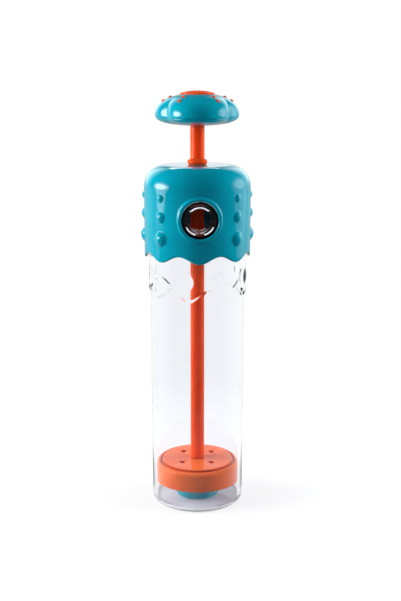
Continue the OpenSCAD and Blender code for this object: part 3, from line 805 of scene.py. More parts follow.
def build_barrel(s):
    """Clear tube with its floor, valve turret, wave band, bubbles and outlet windows."""
    count = 540
    bore = s.radius - s.wall
    rim = 0.4 * MM
    foot = 3 * MM
    recess = 0.9 * MM
    recess_radius = bore - 3.6 * MM
    bore_round = 1.5 * MM
    turret = 10.5 * MM
    turret_inside = turret - 1.5 * MM
    turret_top = s.floor + 4.8 * MM
    turret_ceiling = turret_top - 1.6 * MM
    stem_hole = 2.2 * MM
    groove_low = 171.3 * MM
    groove_high = 173.3 * MM
    groove = s.radius - 0.9 * MM
    window_start = bore - 6 * MM
    window_depth = s.wall + 9 * MM
    inlet_ring = 5.6 * MM
    inlet_radius = 1.7 * MM
    inlet_start = turret_top - 3 * MM
    inlet_depth = 5 * MM
    angles = turns_of(count)

    rings = [ring_of(r, z, count) for r, z in arc((s.radius - foot, foot), foot, -90, 0, 10)]
    for heights in zip(*[wall_heights(a, s) for a in angles]):
        rings.append([around(wall_radius(a, z, s), a, z) for a, z in zip(angles, heights)])
    neck = [
        (s.radius, groove_low), (groove, groove_low), (groove, groove_high), (s.radius, groove_high),
        (s.radius, s.height - rim), (s.radius - rim, s.height),
        (bore + rim, s.height), (bore, s.height - rim),
    ]
    neck += [(bore, z * MM) for z in (150, 90, 40)]
    inside = arc((bore - bore_round, s.floor + bore_round), bore_round, 0, -90, 6)
    pit = soft_outline([
        (turret, s.floor, 0.4 * MM), (turret, turret_top, 0.4 * MM), (stem_hole, turret_top, 0.2 * MM),
        (stem_hole, turret_ceiling, 0.2 * MM), (turret_inside, turret_ceiling, 0.3 * MM),
        (turret_inside, recess, 0.3 * MM), (recess_radius, recess, 0.3 * MM),
        (recess_radius, 0.0, 0.3 * MM),
    ], 3)
    rings += [ring_of(r, z, count) for r, z in neck + inside + pit]
    mesh = smooth_mesh(skin(rings), "clear_barrel")

    cutter = bmesh.new()
    for angle in turns_of(OUTLETS):
        out = around(1.0, angle, 0.0)
        start = out * window_start + Vector((0.0, 0.0, s.window_z))
        drill(cutter, start, out, s.window_radius, window_depth)
    for i in range(6):
        start = around(inlet_ring, math.radians(90 + 60 * i), inlet_start)
        drill(cutter, start, (0, 0, 1), inlet_radius, inlet_depth, 24)
    return cut_away(mesh, cutter, "clear_barrel")


# Cap

def skirt_edge(angle, s):
    """Height of the skirt's lower edge at a turn."""
    return s.skirt_z + s.scallop * (0.5 - 0.5 * math.cos(SCALLOPS * angle))


def build_cap(s):
    """Cap with a soft shoulder, a scalloped skirt with a rounded lip and an inner rib."""
    count = 384
    inner = s.radius - s.wall
    under = s.top_z - s.wall
    flat = s.radius - s.shoulder
    shoulder_z = s.top_z - s.shoulder
    lip = s.wall / 2
    hole_edge = 0.5 * MM
    rib_low = 169.1 * MM
    rib_high = 171.1 * MM
    rib = 30.3 * MM
    edges = [skirt_edge(a, s) + lip for a in turns_of(count)]

    top = [(s.rod_hole, under)] + arc((s.rod_hole + hole_edge, s.top_z - hole_edge), hole_edge, 180, 90, 4)
    top += [(r * MM, s.top_z) for r in (9, 14, 17.5)]
    top += arc((flat, shoulder_z), s.shoulder, 90, 0, 24)
    rings = [ring_of(r, z, count) for r, z in top]
    for part in steps(24)[1:]:
        rings.append(uneven_ring(s.radius, [blend(shoulder_z, e, part) for e in edges]))
    for r, drop in arc((s.radius - lip, 0.0), lip, 0, -180, 10)[1:]:
        rings.append(uneven_ring(r, [e + drop for e in edges]))
    inside = [(inner, rib_low), (rib, rib_low), (rib, rib_high), (inner, rib_high)]
    inside += arc((flat, shoulder_z), s.shoulder - s.wall, 0, 90, 10)
    rings += [ring_of(r, z, count) for r, z in inside]
    mesh = smooth_mesh(skin(rings), "turning_cap")

    cutter = bmesh.new()
    port_start = (0.0, -inner + 8 * MM, s.port_z)
    port_depth = 20 * MM
    ring_middle = (s.port_radius + s.ring_radius) / 2
    drill(cutter, port_start, (0, -1, 0), ring_middle, port_depth, 96)
    return joined(cut_away(mesh, cutter, "turning_cap"), build_port_ring(s))


def port_point(radius, angle, reach, port_z):
    """Point at a radius from the port's axis, an angle from its top and a reach to the front."""
    return Vector((radius * math.sin(angle), -reach, port_z + radius * math.cos(angle)))


def port_ring(radius, reaches, port_z):
    """Ring of points about the port's axis, each with its own reach to the front."""
    return [port_point(radius, a, reach, port_z) for a, reach in zip(turns_of(len(reaches)), reaches)]


def build_port_ring(s):
    """Raised ring around the port, with a rounded crest and a fillet down to the cap's round wall."""
    count = 160
    crest = (s.ring_radius - s.port_radius) / 2
    crest_foot = s.ring_reach - crest
    fillet_end = s.ring_radius + s.ring_foot
    sunk = 0.05 * MM
    root = 0.8 * MM
    inner_wall = s.radius - s.wall + sunk

    def wall_at(radius, wall):
        return [math.sqrt(wall ** 2 - (radius * math.sin(a)) ** 2) for a in turns_of(count)]

    def fillet_top(reach):
        return reach + min(s.ring_foot, 0.6 * (crest_foot - reach))

    near = wall_at(s.ring_radius, s.radius)
    far = wall_at(fillet_end, s.radius)
    rows = [(s.port_radius, wall_at(s.port_radius, inner_wall))]
    for radius, out in arc((s.port_radius + crest, 0.0), crest, 180, 0, 16):
        rows.append((radius, [crest_foot + out] * count))
    for part in steps(4)[1:]:
        rows.append((s.ring_radius, [blend(crest_foot, fillet_top(n), part) for n in near]))
    for part in steps(8)[1:]:
        bend = math.radians(90 * part)
        radius = s.ring_radius + s.ring_foot * (1 - math.cos(bend))
        rows.append((radius, [blend(fillet_top(n), f - sunk, math.sin(bend)) for n, f in zip(near, far)]))
    rows.append((fillet_end, [f - root for f in far]))
    rows.append((s.port_radius + crest, wall_at(s.port_radius + crest, inner_wall)))
    rings = [port_ring(radius, reaches, s.port_z) for radius, reaches in rows]
    return smooth_mesh(skin(rings), "port_ring")


def cap_bumps(s, finish):
    """Columns of three bumps, from small to large, on all sides but the port's."""
    # Height, radius and rise of each row's bumps, in millimetres
    sizes = ((203, 2.63, 1.2), (191.5, 3.62, 1.6), (178, 4.7, 2.2))
    pitch = math.tau / SCALLOPS
    rows = [{
        "Count": SCALLOPS - 1, "First turn": pitch, "Turn step": pitch, "Ring radius": s.radius,
        "Height": z * MM, "Lean": 0.0, "Base radius": STUD_REACH * base * MM, "Rise": rise * MM,
        "Foot": 0.25 * MM, "Wall radius": s.radius, "Stem": 0.8 * MM,
    } for z, base, rise in sizes]
    return studs("cap_bumps", finish, rows)


# Nozzle

def pocket_fall(radius, angle, s):
    """How deep the nozzle's face lies under its rim at a place."""
    pitch = math.tau / POCKETS
    off = (angle + pitch / 2) % pitch - pitch / 2
    held = max(-s.pocket_spread, min(s.pocket_spread, off))
    gap = math.hypot(radius * math.cos(off - held) - s.pocket_radius, radius * math.sin(off - held))
    softness = 0.9 * MM
    return s.pocket_depth * ease((s.pocket_width / 2 - gap) / softness + 0.5)


def build_nozzle(s, port_z):
    """Clear ring with a rounded rim, a bore and kidney-shaped pockets around it."""
    count = 288
    edge = 0.35 * MM
    rim = [(s.radius, s.back)] + arc((s.radius - edge, s.front - edge), edge, 0, 90, 4)
    bore = arc((s.bore + edge, s.front - edge), edge, 90, 180, 4) + [(s.bore, s.back)]

    rows = [(radius, [reach] * count) for radius, reach in rim]
    for part in steps(44)[1:-1]:
        radius = blend(s.radius - edge, s.bore + edge, part)
        rows.append((radius, [s.front - pocket_fall(radius, a, s) for a in turns_of(count)]))
    rows += [(radius, [reach] * count) for radius, reach in bore]
    rings = [port_ring(radius, reaches, port_z) for radius, reaches in rows]
    return smooth_mesh(skin(rings), "clear_nozzle", 60)


def edge_path(radius, first, last, hook, hooked):
    """Points (radius, angle) along a pocket's edge, bent in or out by a hook at its hooked ends."""
    path = [(radius, blend(first, last, part)) for part in steps(24)]
    run = abs(hook) / radius * math.copysign(1, last - first)
    bend = [(radius + hook * (1 - math.cos(part * math.pi / 2)), run * math.sin(part * math.pi / 2))
            for part in steps(5)[1:]]
    if "last" in hooked:
        path += [(r, last + a) for r, a in bend]
    if "first" in hooked:
        path = [(r, first - a) for r, a in reversed(bend)] + path
    return path


def edge_tube(path, s, port_z):
    """Thin tube along a path on the nozzle's face, slimmer towards its ends: a painted highlight in place of
    a reflection on a pocket's wall.
    """
    sides = 12
    sunk = 0.1 * MM
    end_share = 0.45
    taper = 4
    spots = [port_point(r, a, s.front - sunk, port_z) for r, a in path]
    end = len(spots) - 1
    forward = Vector((0.0, -1.0, 0.0))
    rings = [[spots[0]]]
    for i in range(1, end):
        across = (spots[i + 1] - spots[i - 1]).cross(forward).normalized()
        thick = s.edge_width / 2 * min(1.0, end_share + taper * min(i, end - i) / len(spots))
        rings.append([
            spots[i] + (across * math.cos(b) + forward * math.sin(b)) * thick for b in turns_of(sides)])
    rings.append([spots[end]])
    return smooth_mesh(skin(rings, loop=False), "pocket_edge", 80)


def build_pocket_edges(s, port_z):
    """Painted highlights along the three pockets: tubes on the upper one's inner edge and the lower ones'
    outer edges, where the lamps' reflections lie.
    """
    inner = s.pocket_radius - 0.45 * MM
    outer = s.pocket_radius + 0.9 * MM
    hook = 0.9 * MM
    upper_left = math.radians(-40)
    upper_right = math.radians(36)
    low = math.radians(157)
    high = math.radians(114)
    paths = [edge_path(inner, upper_left, upper_right, hook, ("first", "last"))]
    for side in (-1, 1):
        paths.append(edge_path(outer, side * low, side * high, -hook, ("first",)))
    return joined(*[edge_tube(path, s, port_z) for path in paths])


# Handle

def lobe_plan(angle, s):
    """Share of the handle's full reach that its lobed outline has at a turn."""
    reaches = []
    for lobe in turns_of(LOBES):
        off = angle - lobe
        side = s.lobe_offset * math.sin(off)
        reaches.append(s.lobe_offset * math.cos(off) + math.sqrt(s.lobe_radius ** 2 - side ** 2))
    reaches.sort()
    return soft_max(reaches[-1], reaches[-2], s.crease) / (s.lobe_offset + s.lobe_radius)


def handle_radius(angle, z, s, inset=0.0):
    """Radius of the handle's skin at a turn and a height; the creases fade towards top and underside."""
    if z > s.wide_z:
        height = s.top_z - s.wide_z
        power = s.dome_power
        fade = 0.85
    else:
        height = s.wide_z - s.low_z
        power = s.belly_power
        fade = 0.4
    level = min(abs(z - s.wide_z) / height, 1.0)
    pinch = (1 - lobe_plan(angle, s)) * (1 - fade * level ** 2)
    profile = (1 - level ** power) ** (1 / power)
    return (s.lobe_offset + s.lobe_radius) * profile * (1 - pinch) - inset


def handle_height(angle, radius, s, end):
    """Height between the widest place and an end at which the handle's skin has a radius."""
    wide, narrow = s.wide_z, end
    halvings = 40
    for _ in range(halvings):
        middle = (wide + narrow) / 2
        if handle_radius(angle, middle, s) > radius:
            wide = middle
        else:
            narrow = middle
    return wide


def handle_ring(heights, s, inset=0.0):
    """Ring of points on the handle's skin, or inset from it, with a height for each turn."""
    return [around(handle_radius(a, z, s, inset), a, z) for a, z in zip(turns_of(len(heights)), heights)]


def build_handle_shell(s):
    """Three-lobed dome with crisp creases, a pocket for the button and a rounded lower rim."""
    count = 360
    pocket = s.button_radius + 0.08 * MM
    pocket_floor = BUTTON_HIGH.z - 3.6 * MM
    hollow_top = s.top_z - 5.7 * MM
    plug = 5.65 * MM
    lip = 0.25 * MM
    chamfer = 0.08 * MM
    low = s.split_z + 0.02 * MM
    rims = [handle_height(a, pocket + lip, s, s.top_z) for a in turns_of(count)]
    rings = [ring_of(plug, pocket_floor, count), ring_of(pocket, pocket_floor, count)]
    rings.append(uneven_ring(pocket, [z - lip for z in rims]))
    rings.append(uneven_ring(pocket + chamfer, [z - chamfer for z in rims]))
    for part in steps(48):
        share = math.cos(part * math.pi / 2)
        rings.append(handle_ring([blend(low + lip, z, share) for z in rims], s))
    rings.append(handle_ring([low] * count, s, lip))
    for part in steps(12):
        rings.append(handle_ring([blend(low, hollow_top, part)] * count, s, s.wall))
    rings.append(ring_of(plug, hollow_top, count))
    return smooth_mesh(skin(rings), "handle_dome", 60)


def build_handle_base(s, rod_radius):
    """Rounded underside of the handle, around the rod."""
    count = 360
    hole = rod_radius + 0.05 * MM
    lip = 0.25 * MM
    ends = [handle_height(a, hole + lip, s, s.low_z) for a in turns_of(count)]
    rings = [ring_of(hole, s.split_z, count), handle_ring([s.split_z] * count, s, lip)]
    for part in steps(32):
        share = math.sin(part * math.pi / 2)
        rings.append(handle_ring([blend(s.split_z - lip, z, share) for z in ends], s))
    rings.append(uneven_ring(hole, [z + lip for z in ends]))
    return smooth_mesh(skin(rings), "handle_belly", 60)


def build_handle_core(s, finish):
    """Hub and three-lobed plate inside the handle, with the nubs that show through the dome."""
    count = 180
    inset = s.wall + 1.2 * MM
    plate_low = s.wide_z + 0.9 * MM
    plate_high = s.wide_z + 2.9 * MM
    hub = 6.5 * MM
    bore = 3.25 * MM
    hub_top = CORE_LOW.z + 8 * MM

    def lobe_ring(z):
        return [around(handle_radius(a, plate_high, s, inset), a, z) for a in turns_of(count)]

    rings = [ring_of(r, z, count) for r, z in ((bore, CORE_LOW.z), (hub, CORE_LOW.z), (hub, plate_low))]
    rings += [lobe_ring(plate_low), lobe_ring(plate_high)]
    rings += [ring_of(r, z, count) for r, z in ((hub, plate_high), (hub, hub_top), (bore, hub_top))]
    body = smooth_mesh(skin(rings), "handle_core_body")

    rows = []
    drop = 0.2 * MM
    for radius in (s.nub_inner_ring, s.nub_outer_ring):
        for side in (-1, 1):
            first = math.pi / LOBES + side * s.nub_turn
            z = handle_height(first, radius, s, s.top_z)
            lean = math.atan2(handle_radius(first, z - drop, s) - radius, drop)
            rows.append({
                "Count": LOBES, "First turn": first, "Turn step": math.tau / LOBES, "Ring radius": radius,
                "Height": z, "Lean": lean, "Base radius": STUD_REACH * s.nub_radius, "Rise": s.nub_rise,
                "Foot": 0.1 * MM, "Wall radius": 1.0, "Stem": 2.4 * MM,
            })
    return joined(body, studs("handle_nubs", finish, rows))


# Plunger

def build_rod(s):
    """Rod with a rounded stop collar and a spigot at each end."""
    collar_low = s.collar_z
    collar_high = s.collar_z + s.collar_height
    collar_round = 1.55 * MM
    spigot = 3.2 * MM
    shoulder = BASE_HIGH.z + 0.6 * MM
    edge = 0.3 * MM
    return turned("pump_rod", [
        (0.0, ROD_LOW.z, 0), (spigot, ROD_LOW.z, edge), (spigot, PLATE_HIGH.z, 0),
        (s.rod_radius, PLATE_HIGH.z, edge), (s.rod_radius, collar_low + 0.35 * MM, 0.15 * MM),
        (s.rod_radius + 0.9 * MM, collar_low, 0.2 * MM),
        (s.collar_radius, collar_low + 0.1 * MM, collar_round),
        (s.collar_radius, collar_high, collar_round),
        (s.rod_radius, collar_high, 0.5 * MM), (s.rod_radius, shoulder, edge),
        (spigot, shoulder, 0), (spigot, ROD_HIGH.z, edge), (0.0, ROD_HIGH.z, 0),
    ], count=8)


def build_plate(s):
    """Piston plate with four water holes, a groove round its edge and a boss below."""
    bottom = PLATE_HIGH.z - 2.4 * MM
    boss = 9 * MM
    bore = 3.25 * MM
    rim = PLATE_HIGH.z - 0.5 * MM
    ledge = bottom + 0.7 * MM
    neck = s.plate_radius - 2.2 * MM
    flange = s.plate_radius + 0.8 * MM
    edge = 0.2 * MM
    rim_edge = 0.15 * MM
    mesh = turned("piston_top", [
        (bore, PLATE_LOW.z, 0), (boss, PLATE_LOW.z, 0.3 * MM), (boss, bottom, edge), (flange, bottom, edge),
        (flange, ledge, edge), (neck, ledge, edge), (neck, rim, rim_edge), (s.plate_radius, rim, rim_edge),
        (s.plate_radius, PLATE_HIGH.z, 0.4 * MM), (bore, PLATE_HIGH.z, 0),
    ], SHARP)
    first_degrees = 41
    hole_start = bottom - 5 * MM
    hole_depth = 12 * MM
    cutter = bmesh.new()
    for i in range(4):
        start = around(s.hole_ring, math.radians(first_degrees + 90 * i), hole_start)
        drill(cutter, start, (0, 0, 1), s.hole_radius, hole_depth)
    return cut_away(mesh, cutter, "piston_top", bevel=0.25 * MM)


def build_cup(s):
    """Soft cup with rounded edges and a groove inside for the core's rim."""
    low, high = CUP_LOW.z, CUP_HIGH.z
    inner = s.cup_radius - s.cup_wall
    groove = inner + 1 * MM
    groove_low = low + 2.5 * MM
    groove_high = low + 5.6 * MM
    corner = 0.9 * MM
    shoulder = 2.4 * MM
    edge = 0.15 * MM
    return turned("soft_cup", [
        (inner, low, 0.4 * MM), (s.cup_radius, low, corner), (s.cup_radius, high, shoulder),
        (inner, high, corner), (inner, groove_high, edge), (groove, groove_high, edge),
        (groove, groove_low, edge), (inner, groove_low, edge),
    ])


def build_bell():
    """Inlet valve: a bell with a rounded top, a rolled lower rim and a grooved guide stem."""
    low, high = BELL_LOW.z, BELL_HIGH.z
    radius = BELL_HIGH.x + 0.6 * MM
    ceiling = high - 1.6 * MM
    skirt = 2.4 * MM
    inner = radius - 1.4 * MM
    stem = 1.9 * MM
    groove = stem - 0.5 * MM
    groove_low = low + 0.4 * MM
    groove_high = low + 1.1 * MM
    return turned("inlet_bell", [
        (0.0, low, 0), (stem, low, 0.15 * MM), (stem, groove_low, 0), (groove, groove_low, 0),
        (groove, groove_high, 0), (stem, groove_high, 0), (stem, ceiling, 0.2 * MM),
        (inner, ceiling, 0.4 * MM), (inner, skirt, 0.3 * MM), (radius, skirt, 0.6 * MM),
        (radius, high, 2.0 * MM), (0.0, high, 0),
    ])


def build_button(s):
    """Low domed button with a plug below."""
    top = BUTTON_HIGH.z
    plug = 5.6 * MM
    seat = top - 3.6 * MM
    rise = 1.7 * MM
    edge = top - rise
    edge_round = 0.35 * MM
    edge_drop = 0.25 * MM
    dome = (s.button_radius ** 2 + rise ** 2) / (2 * rise)
    start = math.degrees(math.asin(s.button_radius / dome)) * 0.97
    crown = arc((0.0, top - dome), dome, 90 - start, 90, 16)
    outline = [(0.0, BUTTON_LOW.z), (plug, BUTTON_LOW.z), (plug, seat), (s.button_radius, seat)]
    outline += arc((s.button_radius - edge_round, edge - edge_drop), edge_round, 0, 70, 5)
    outline += crown[:-1] + [(0.0, top)]
    return smooth_mesh(lathe(outline), "handle_disc", 50)


# Stage

def seen_mask(wiring):
    """Level 1 for rays seen directly, mirrored or through clear plastic, and 0 for the light on surfaces."""
    path = wiring.node("ShaderNodeLightPath")
    seen = wiring.math("MAXIMUM", path.outputs["Is Camera Ray"], path.outputs["Is Transmission Ray"])
    seen = wiring.math("MAXIMUM", seen, path.outputs["Is Glossy Ray"])
    first = wiring.math("LESS_THAN", path.outputs["Diffuse Depth"], 0.5)
    return wiring.math("MULTIPLY", seen, first), path


def make_room(s):
    """White room with a plain ambient level; what pieces mirror of it is darker towards the camera."""
    world = bpy.data.worlds.new("Studio")
    bpy.context.scene.world = world
    world.use_nodes = True
    world.node_tree.nodes.clear()
    wiring = Wiring(world.node_tree)
    seen, path = seen_mask(wiring)
    heading = wiring.node("ShaderNodeSeparateXYZ")
    wiring.feed(heading.inputs[0], wiring.node("ShaderNodeTexCoord").outputs["Generated"])
    sideways, backward, upward = heading.outputs

    # Each ramp runs between two values of a ray's heading and gives a level of light.
    # What the opaque glossy pieces mirror: a floor and a wall behind the object.
    floor_behind = wiring.ramp(backward, 0.08, 0.6, 0.02, 0.5)
    rise = wiring.ramp(upward, 0.0, 0.1, 0.9, 1.3)
    sides = wiring.ramp(wiring.math("ABSOLUTE", sideways), 0.1, 0.3, 0.0, 1.5)
    side_wall = wiring.math("MULTIPLY", sides, wiring.ramp(upward, 0.55, 0.7, 1.0, 0.02))
    crown = wiring.math("MAXIMUM", side_wall, wiring.ramp(upward, 0.09, 0.42, 1.0, 0.04))
    wall_light = wiring.math("MULTIPLY", rise, crown)
    wall_behind = wiring.math("MULTIPLY", wiring.ramp(backward, 0.55, 0.85), wall_light)
    wall_over_floor = wiring.math("SUBTRACT", wall_behind, floor_behind)
    in_plastic = wiring.math("MULTIPLY_ADD", wiring.ramp(upward, -0.1, 0.1), wall_over_floor, floor_behind)

    # What the clear pieces mirror and let through: white behind, and darker in front where it is mirrored.
    front = wiring.ramp(path.outputs["Transmission Depth"], 0.0, 1.0, s.front, s.front_inside)
    unmirrored = wiring.ramp(path.outputs["Glossy Depth"], 0.0, 1.0, 1.0, 0.0)
    in_clear = wiring.ramp(backward, -0.5, 0.2, wiring.math("MAXIMUM", front, unmirrored), 1.0)

    sharp = wiring.math("MAXIMUM", path.outputs["Is Singular Ray"], path.outputs["Is Transmission Ray"])
    soft = wiring.math("MULTIPLY", path.outputs["Is Glossy Ray"], wiring.math("SUBTRACT", 1.0, sharp))
    level = wiring.math("ADD", wiring.math("MULTIPLY", in_plastic, soft),
                        wiring.math("MULTIPLY", in_clear, wiring.math("SUBTRACT", 1.0, soft)))
    level = wiring.math("MAXIMUM", level, path.outputs["Is Camera Ray"])
    white = wiring.node("ShaderNodeCombineColor")
    for socket in white.inputs:
        wiring.feed(socket, level)
    light = wiring.node("ShaderNodeBackground")
    wiring.feed(light.inputs["Color"], wiring.colours(seen, tuple(s.ambient), white.outputs["Color"]))
    output = wiring.node("ShaderNodeOutputWorld")
    wiring.feed(output.inputs["Surface"], light.outputs["Background"])


def make_floor(s):
    """Round pale floor that keeps the shadow and fades into the white room."""
    rings = [ring_of(radius, 0.0, 96) for radius in (0.0, 0.05, 0.15, 0.3)]
    floor = loose("floor", smooth_mesh(skin(rings, loop=False), "floor"))
    for face in floor.data.polygons:
        if face.normal.z < 0:
            face.flip()
    material, wiring, output = blank_material("Pale floor")
    seen, _ = seen_mask(wiring)
    spot = wiring.node("ShaderNodeTexCoord").outputs["Object"]
    distance = wiring.node("ShaderNodeVectorMath", operation="LENGTH")
    wiring.feed(distance.inputs[0], spot)
    fleck = wiring.noise(spot, 320.0, 3.0)
    paper = wiring.node("ShaderNodeBsdfDiffuse")
    tones = (0.265, 0.265, 0.268, 1.0), (0.28, 0.28, 0.28, 1.0)
    wiring.feed(paper.inputs["Color"], wiring.colours(fleck, *tones))
    glow = wiring.node("ShaderNodeEmission")
    wiring.feed(glow.inputs["Strength"], wiring.math("MULTIPLY", seen, s.floor_glow))
    both = wiring.node("ShaderNodeAddShader")
    wiring.feed(both.inputs[0], paper.outputs["BSDF"])
    wiring.feed(both.inputs[1], glow.outputs["Emission"])
    fade_start, fade_end = 0.13, 0.26
    fade = wiring.node("ShaderNodeMixShader")
    wiring.feed(fade.inputs["Fac"], wiring.ramp(distance.outputs["Value"], fade_start, fade_end))
    wiring.feed(fade.inputs[1], both.outputs["Shader"])
    wiring.feed(fade.inputs[2], wiring.node("ShaderNodeBsdfTransparent").outputs["BSDF"])
    wiring.feed(output.inputs["Surface"], fade.outputs["Shader"])
    floor.data.materials.append(material)
    floor.visible_glossy = False


def make_lamp(name, shape, size, spot, radiance, mirrored=True):
    """Area lamp aimed at the cap from a turn and a rise in degrees and a distance; it is not in view."""
    lamp = bpy.data.lights.new(name, "AREA")
    lamp.shape = shape
    lamp.size, lamp.size_y = size
    area = size[0] * size[1]
    if shape == "ELLIPSE":
        area *= math.pi / 4
    lamp.energy = radiance * area * math.pi
    thing = bpy.data.objects.new(name, lamp)
    bpy.context.scene.collection.objects.link(thing)
    aim = Vector((0.0, 0.0, 195 * MM))
    rise = math.radians(spot[1])
    away = around(math.cos(rise), math.radians(spot[0]), math.sin(rise))
    thing.location = away * spot[2] + aim
    thing.rotation_euler = away.to_track_quat("Z", "Y").to_euler()
    thing.visible_camera = False
    thing.visible_transmission = False
    thing.visible_glossy = mirrored
    return thing


def light_only(lamp, piece):
    """Lets a lamp light one piece alone."""
    lit = bpy.data.collections.new(lamp.name + "_lit")
    lit.objects.link(bpy.data.objects[piece])
    lamp.light_linking.receiver_collection = lit


def make_camera():
    """Camera at the photograph's place: level with the handle's top, a little left and looking down."""
    picture_height = 601
    pixels_right = 3.1
    tilt = 12.684
    turn_left = math.radians(-2.5)
    lens = bpy.data.cameras.new("camera")
    lens.sensor_fit = "VERTICAL"
    lens.sensor_height = 36.0
    lens.lens = 56.67
    lens.shift_x = pixels_right / picture_height
    lens.clip_start = 0.01
    camera = bpy.data.objects.new("camera", lens)
    bpy.context.scene.collection.objects.link(camera)
    camera.location = around(596.71 * MM, turn_left, 268.53 * MM)
    camera.rotation_euler = (math.radians(90 - tilt), 0.0, turn_left)
    bpy.context.scene.camera = camera


# Operators

class SQUIRTER_OT_barrel(bpy.types.Operator):
    """Build the clear barrel with its wave band and bubbles"""

    bl_idname = "squirter.barrel"
    bl_label = "Clear barrel"

    def execute(self, context):
        s = context.scene.squirter_barrel
        mesh = build_barrel(s)
        place("clear_barrel", mesh, "Clear plastic", "barrel", "clear_plastic", "barrel")
        # Painted light: the foot's downward faces get an opaque pale finish in place of the lit floor seen
        # through the clear foot.
        mesh.materials.append(finish_of("Scuffed plastic"))
        downward = -0.4
        for face in mesh.polygons:
            if face.normal.z < downward and face.center.z < s.floor:
                face.material_index = 1
        return {"FINISHED"}


class SQUIRTER_OT_cap(bpy.types.Operator):
    """Build the turning cap, its bumps and the clear nozzle in its port"""

    bl_idname = "squirter.cap"
    bl_label = "Turning cap"

    def execute(self, context):
        s = context.scene.squirter_cap
        teal = "Teal plastic"
        place("turning_cap", build_cap(s), teal, "cap", "teal_plastic", "cap_shell")
        place("cap_bumps", cap_bumps(s, teal), teal, "cap", "teal_plastic", "cap_shell")
        nozzle = build_nozzle(context.scene.squirter_nozzle, s.port_z)
        place("clear_nozzle", nozzle, "Clear plastic", "cap", "clear_plastic", "port_nozzle")
        # Painted highlights: pale tubes on the nozzle's face in place of reflections on its pockets' walls.
        edges = build_pocket_edges(context.scene.squirter_nozzle, s.port_z)
        place("pocket_edges", edges, "Frosted plastic", "cap", "clear_plastic", "port_nozzle")
        return {"FINISHED"}


class SQUIRTER_OT_plunger(bpy.types.Operator):
    """Build the rod, the piston's plate and cup, and the inlet valve"""

    bl_idname = "squirter.plunger"
    bl_label = "Plunger and valve"

    def execute(self, context):
        s = context.scene.squirter_plunger
        place("pump_rod", build_rod(s), "Orange plastic", "plunger", "orange_plastic", "rod")
        place("piston_top", build_plate(s), "Coral plastic", "plunger", "coral_plastic", "piston_plate")
        place("soft_cup", build_cup(s), "Orange rubber", "piston_slide", "orange_rubber", "piston_cup")
        place("inlet_bell", build_bell(), "Teal plastic", "inlet_valve", "teal_plastic", "inlet_valve")
        return {"FINISHED"}


class SQUIRTER_OT_handle(bpy.types.Operator):
    """Build the three-lobed handle with its nubs and button"""

    bl_idname = "squirter.handle"
    bl_label = "Handle"

    def execute(self, context):
        s = context.scene.squirter_handle
        teal = "Teal plastic"
        orange = "Orange plastic"
        belly = build_handle_base(s, context.scene.squirter_plunger.rod_radius)
        nubs = build_handle_core(s, orange)
        place("handle_dome", build_handle_shell(s), teal, "plunger", "teal_plastic", "handle_shell")
        place("handle_belly", belly, teal, "plunger", "teal_plastic", "handle_base")
        place("handle_nubs", nubs, orange, "plunger", "orange_plastic", "handle_core")
        place("handle_disc", build_button(s), orange, "plunger", "orange_plastic", "handle_button")
        return {"FINISHED"}


class SQUIRTER_OT_inside(bpy.types.Operator):
    """Give the CAD pieces inside the squirter their finishes"""

    bl_idname = "squirter.inside"
    bl_label = "Inside pieces"

    def execute(self, context):
        finishes = {
            "Clear plastic": ("spout_liner",),
            "Natural plastic": ("rod_guide", "cap_snap_ring"),
            "Black rubber": ("rod_wiper", "liner_seal", "port_gasket", "inlet_valve_seal", "piston_valve"),
            "Orange plastic": ("piston_core",),
            "Steel": ("inlet_valve_clip", "piston_screw", "piston_washer", "handle_screw"),
        }
        for name, nodes in finishes.items():
            for node in nodes:
                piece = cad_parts[node]
                piece.data.materials.clear()
                piece.data.materials.append(finish_of(name))
        return {"FINISHED"}


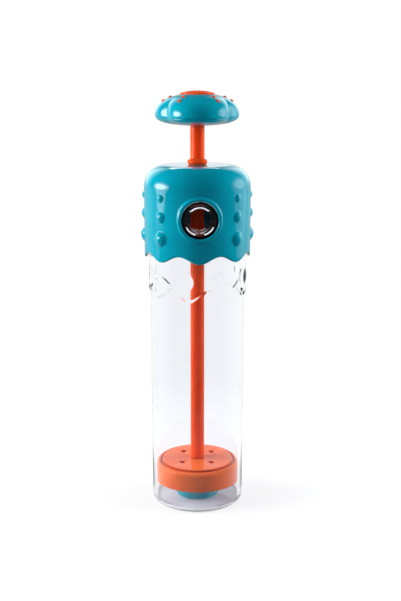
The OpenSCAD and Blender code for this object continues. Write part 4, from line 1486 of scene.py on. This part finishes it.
class SQUIRTER_OT_stage(bpy.types.Operator):
    """Set the pale floor, the studio lamps, the room's light and the camera"""

    bl_idname = "squirter.stage"
    bl_label = "Set the stage"

    def execute(self, context):
        s = context.scene.squirter_stage
        context.scene.view_settings.view_transform = "Standard"
        make_room(s)
        make_floor(s)
        make_lamp("left_core", "ELLIPSE", (0.42, 0.24), (-86, 8, 0.75), s.left_core)
        make_lamp("left_halo", "ELLIPSE", (0.6, 0.44), (-86, 8, 0.76), s.left_halo)
        make_lamp("left_low", "ELLIPSE", (0.14, 0.12), (-96, -10, 0.75), s.left_low)
        make_lamp("left_fill", "RECTANGLE", (0.6, 0.6), (-95, 14, 0.8), s.left_fill, mirrored=False)
        make_lamp("right_core", "ELLIPSE", (0.5, 0.4), (101, 12, 0.8), s.right_core)
        make_lamp("right_halo", "ELLIPSE", (0.86, 0.72), (103, 10, 0.82), s.right_halo)
        make_lamp("right_fill", "RECTANGLE", (0.6, 0.6), (92, 14, 0.9), s.right_fill, mirrored=False)
        back_panel = make_lamp("back_panel", "ELLIPSE", (0.34, 0.5), (180, 44, 0.8), s.back_panel)
        light_only(back_panel, "turning_cap")
        make_lamp("top_fill", "RECTANGLE", (0.6, 0.5), (180, 70, 0.8), s.top_fill, mirrored=False)
        # This lamp lights only the painted highlight tubes on the nozzle's face.
        port_lamp = make_lamp("port_lamp", "RECTANGLE", (0.8, 0.5), (0, 35, 0.7), s.port_level)
        light_only(port_lamp, "pocket_edges")
        make_camera()
        return {"FINISHED"}


class SQUIRTER_PT_panel(bpy.types.Panel):
    """Buttons and settings in the 3D view's sidebar"""

    bl_idname = "SQUIRTER_PT_panel"
    bl_label = "Water squirter"
    bl_space_type = "VIEW_3D"
    bl_region_type = "UI"
    bl_category = "Squirter"

    def draw(self, context):
        for operator in OPERATORS:
            self.layout.operator(operator.bl_idname)
        for name in SETTINGS:
            box = self.layout.box()
            group = getattr(context.scene, name)
            for key in group.bl_rna.properties.keys():
                if key not in ("rna_type", "name"):
                    box.prop(group, key)


SETTINGS = {
    "squirter_barrel": BarrelSettings,
    "squirter_cap": CapSettings,
    "squirter_nozzle": NozzleSettings,
    "squirter_plunger": PlungerSettings,
    "squirter_handle": HandleSettings,
    "squirter_stage": StageSettings,
}
OPERATORS = (
    SQUIRTER_OT_barrel, SQUIRTER_OT_cap, SQUIRTER_OT_plunger, SQUIRTER_OT_handle, SQUIRTER_OT_inside,
    SQUIRTER_OT_stage,
)


def register():
    """Registers the settings, the operators and the panel."""
    for name, group in SETTINGS.items():
        bpy.utils.register_class(group)
        setattr(bpy.types.Scene, name, PointerProperty(type=group))
    for operator in OPERATORS:
        bpy.utils.register_class(operator)
    bpy.utils.register_class(SQUIRTER_PT_panel)


def unregister():
    """Takes the settings, the operators and the panel away again."""
    bpy.utils.unregister_class(SQUIRTER_PT_panel)
    for operator in reversed(OPERATORS):
        bpy.utils.unregister_class(operator)
    for name, group in reversed(SETTINGS.items()):
        delattr(bpy.types.Scene, name)
        bpy.utils.unregister_class(group)


def main():
    register()
    bpy.ops.squirter.barrel()
    bpy.ops.squirter.cap()
    bpy.ops.squirter.plunger()
    bpy.ops.squirter.handle()
    bpy.ops.squirter.inside()
    bpy.ops.squirter.stage()


if __name__ == "__main__":
    main()
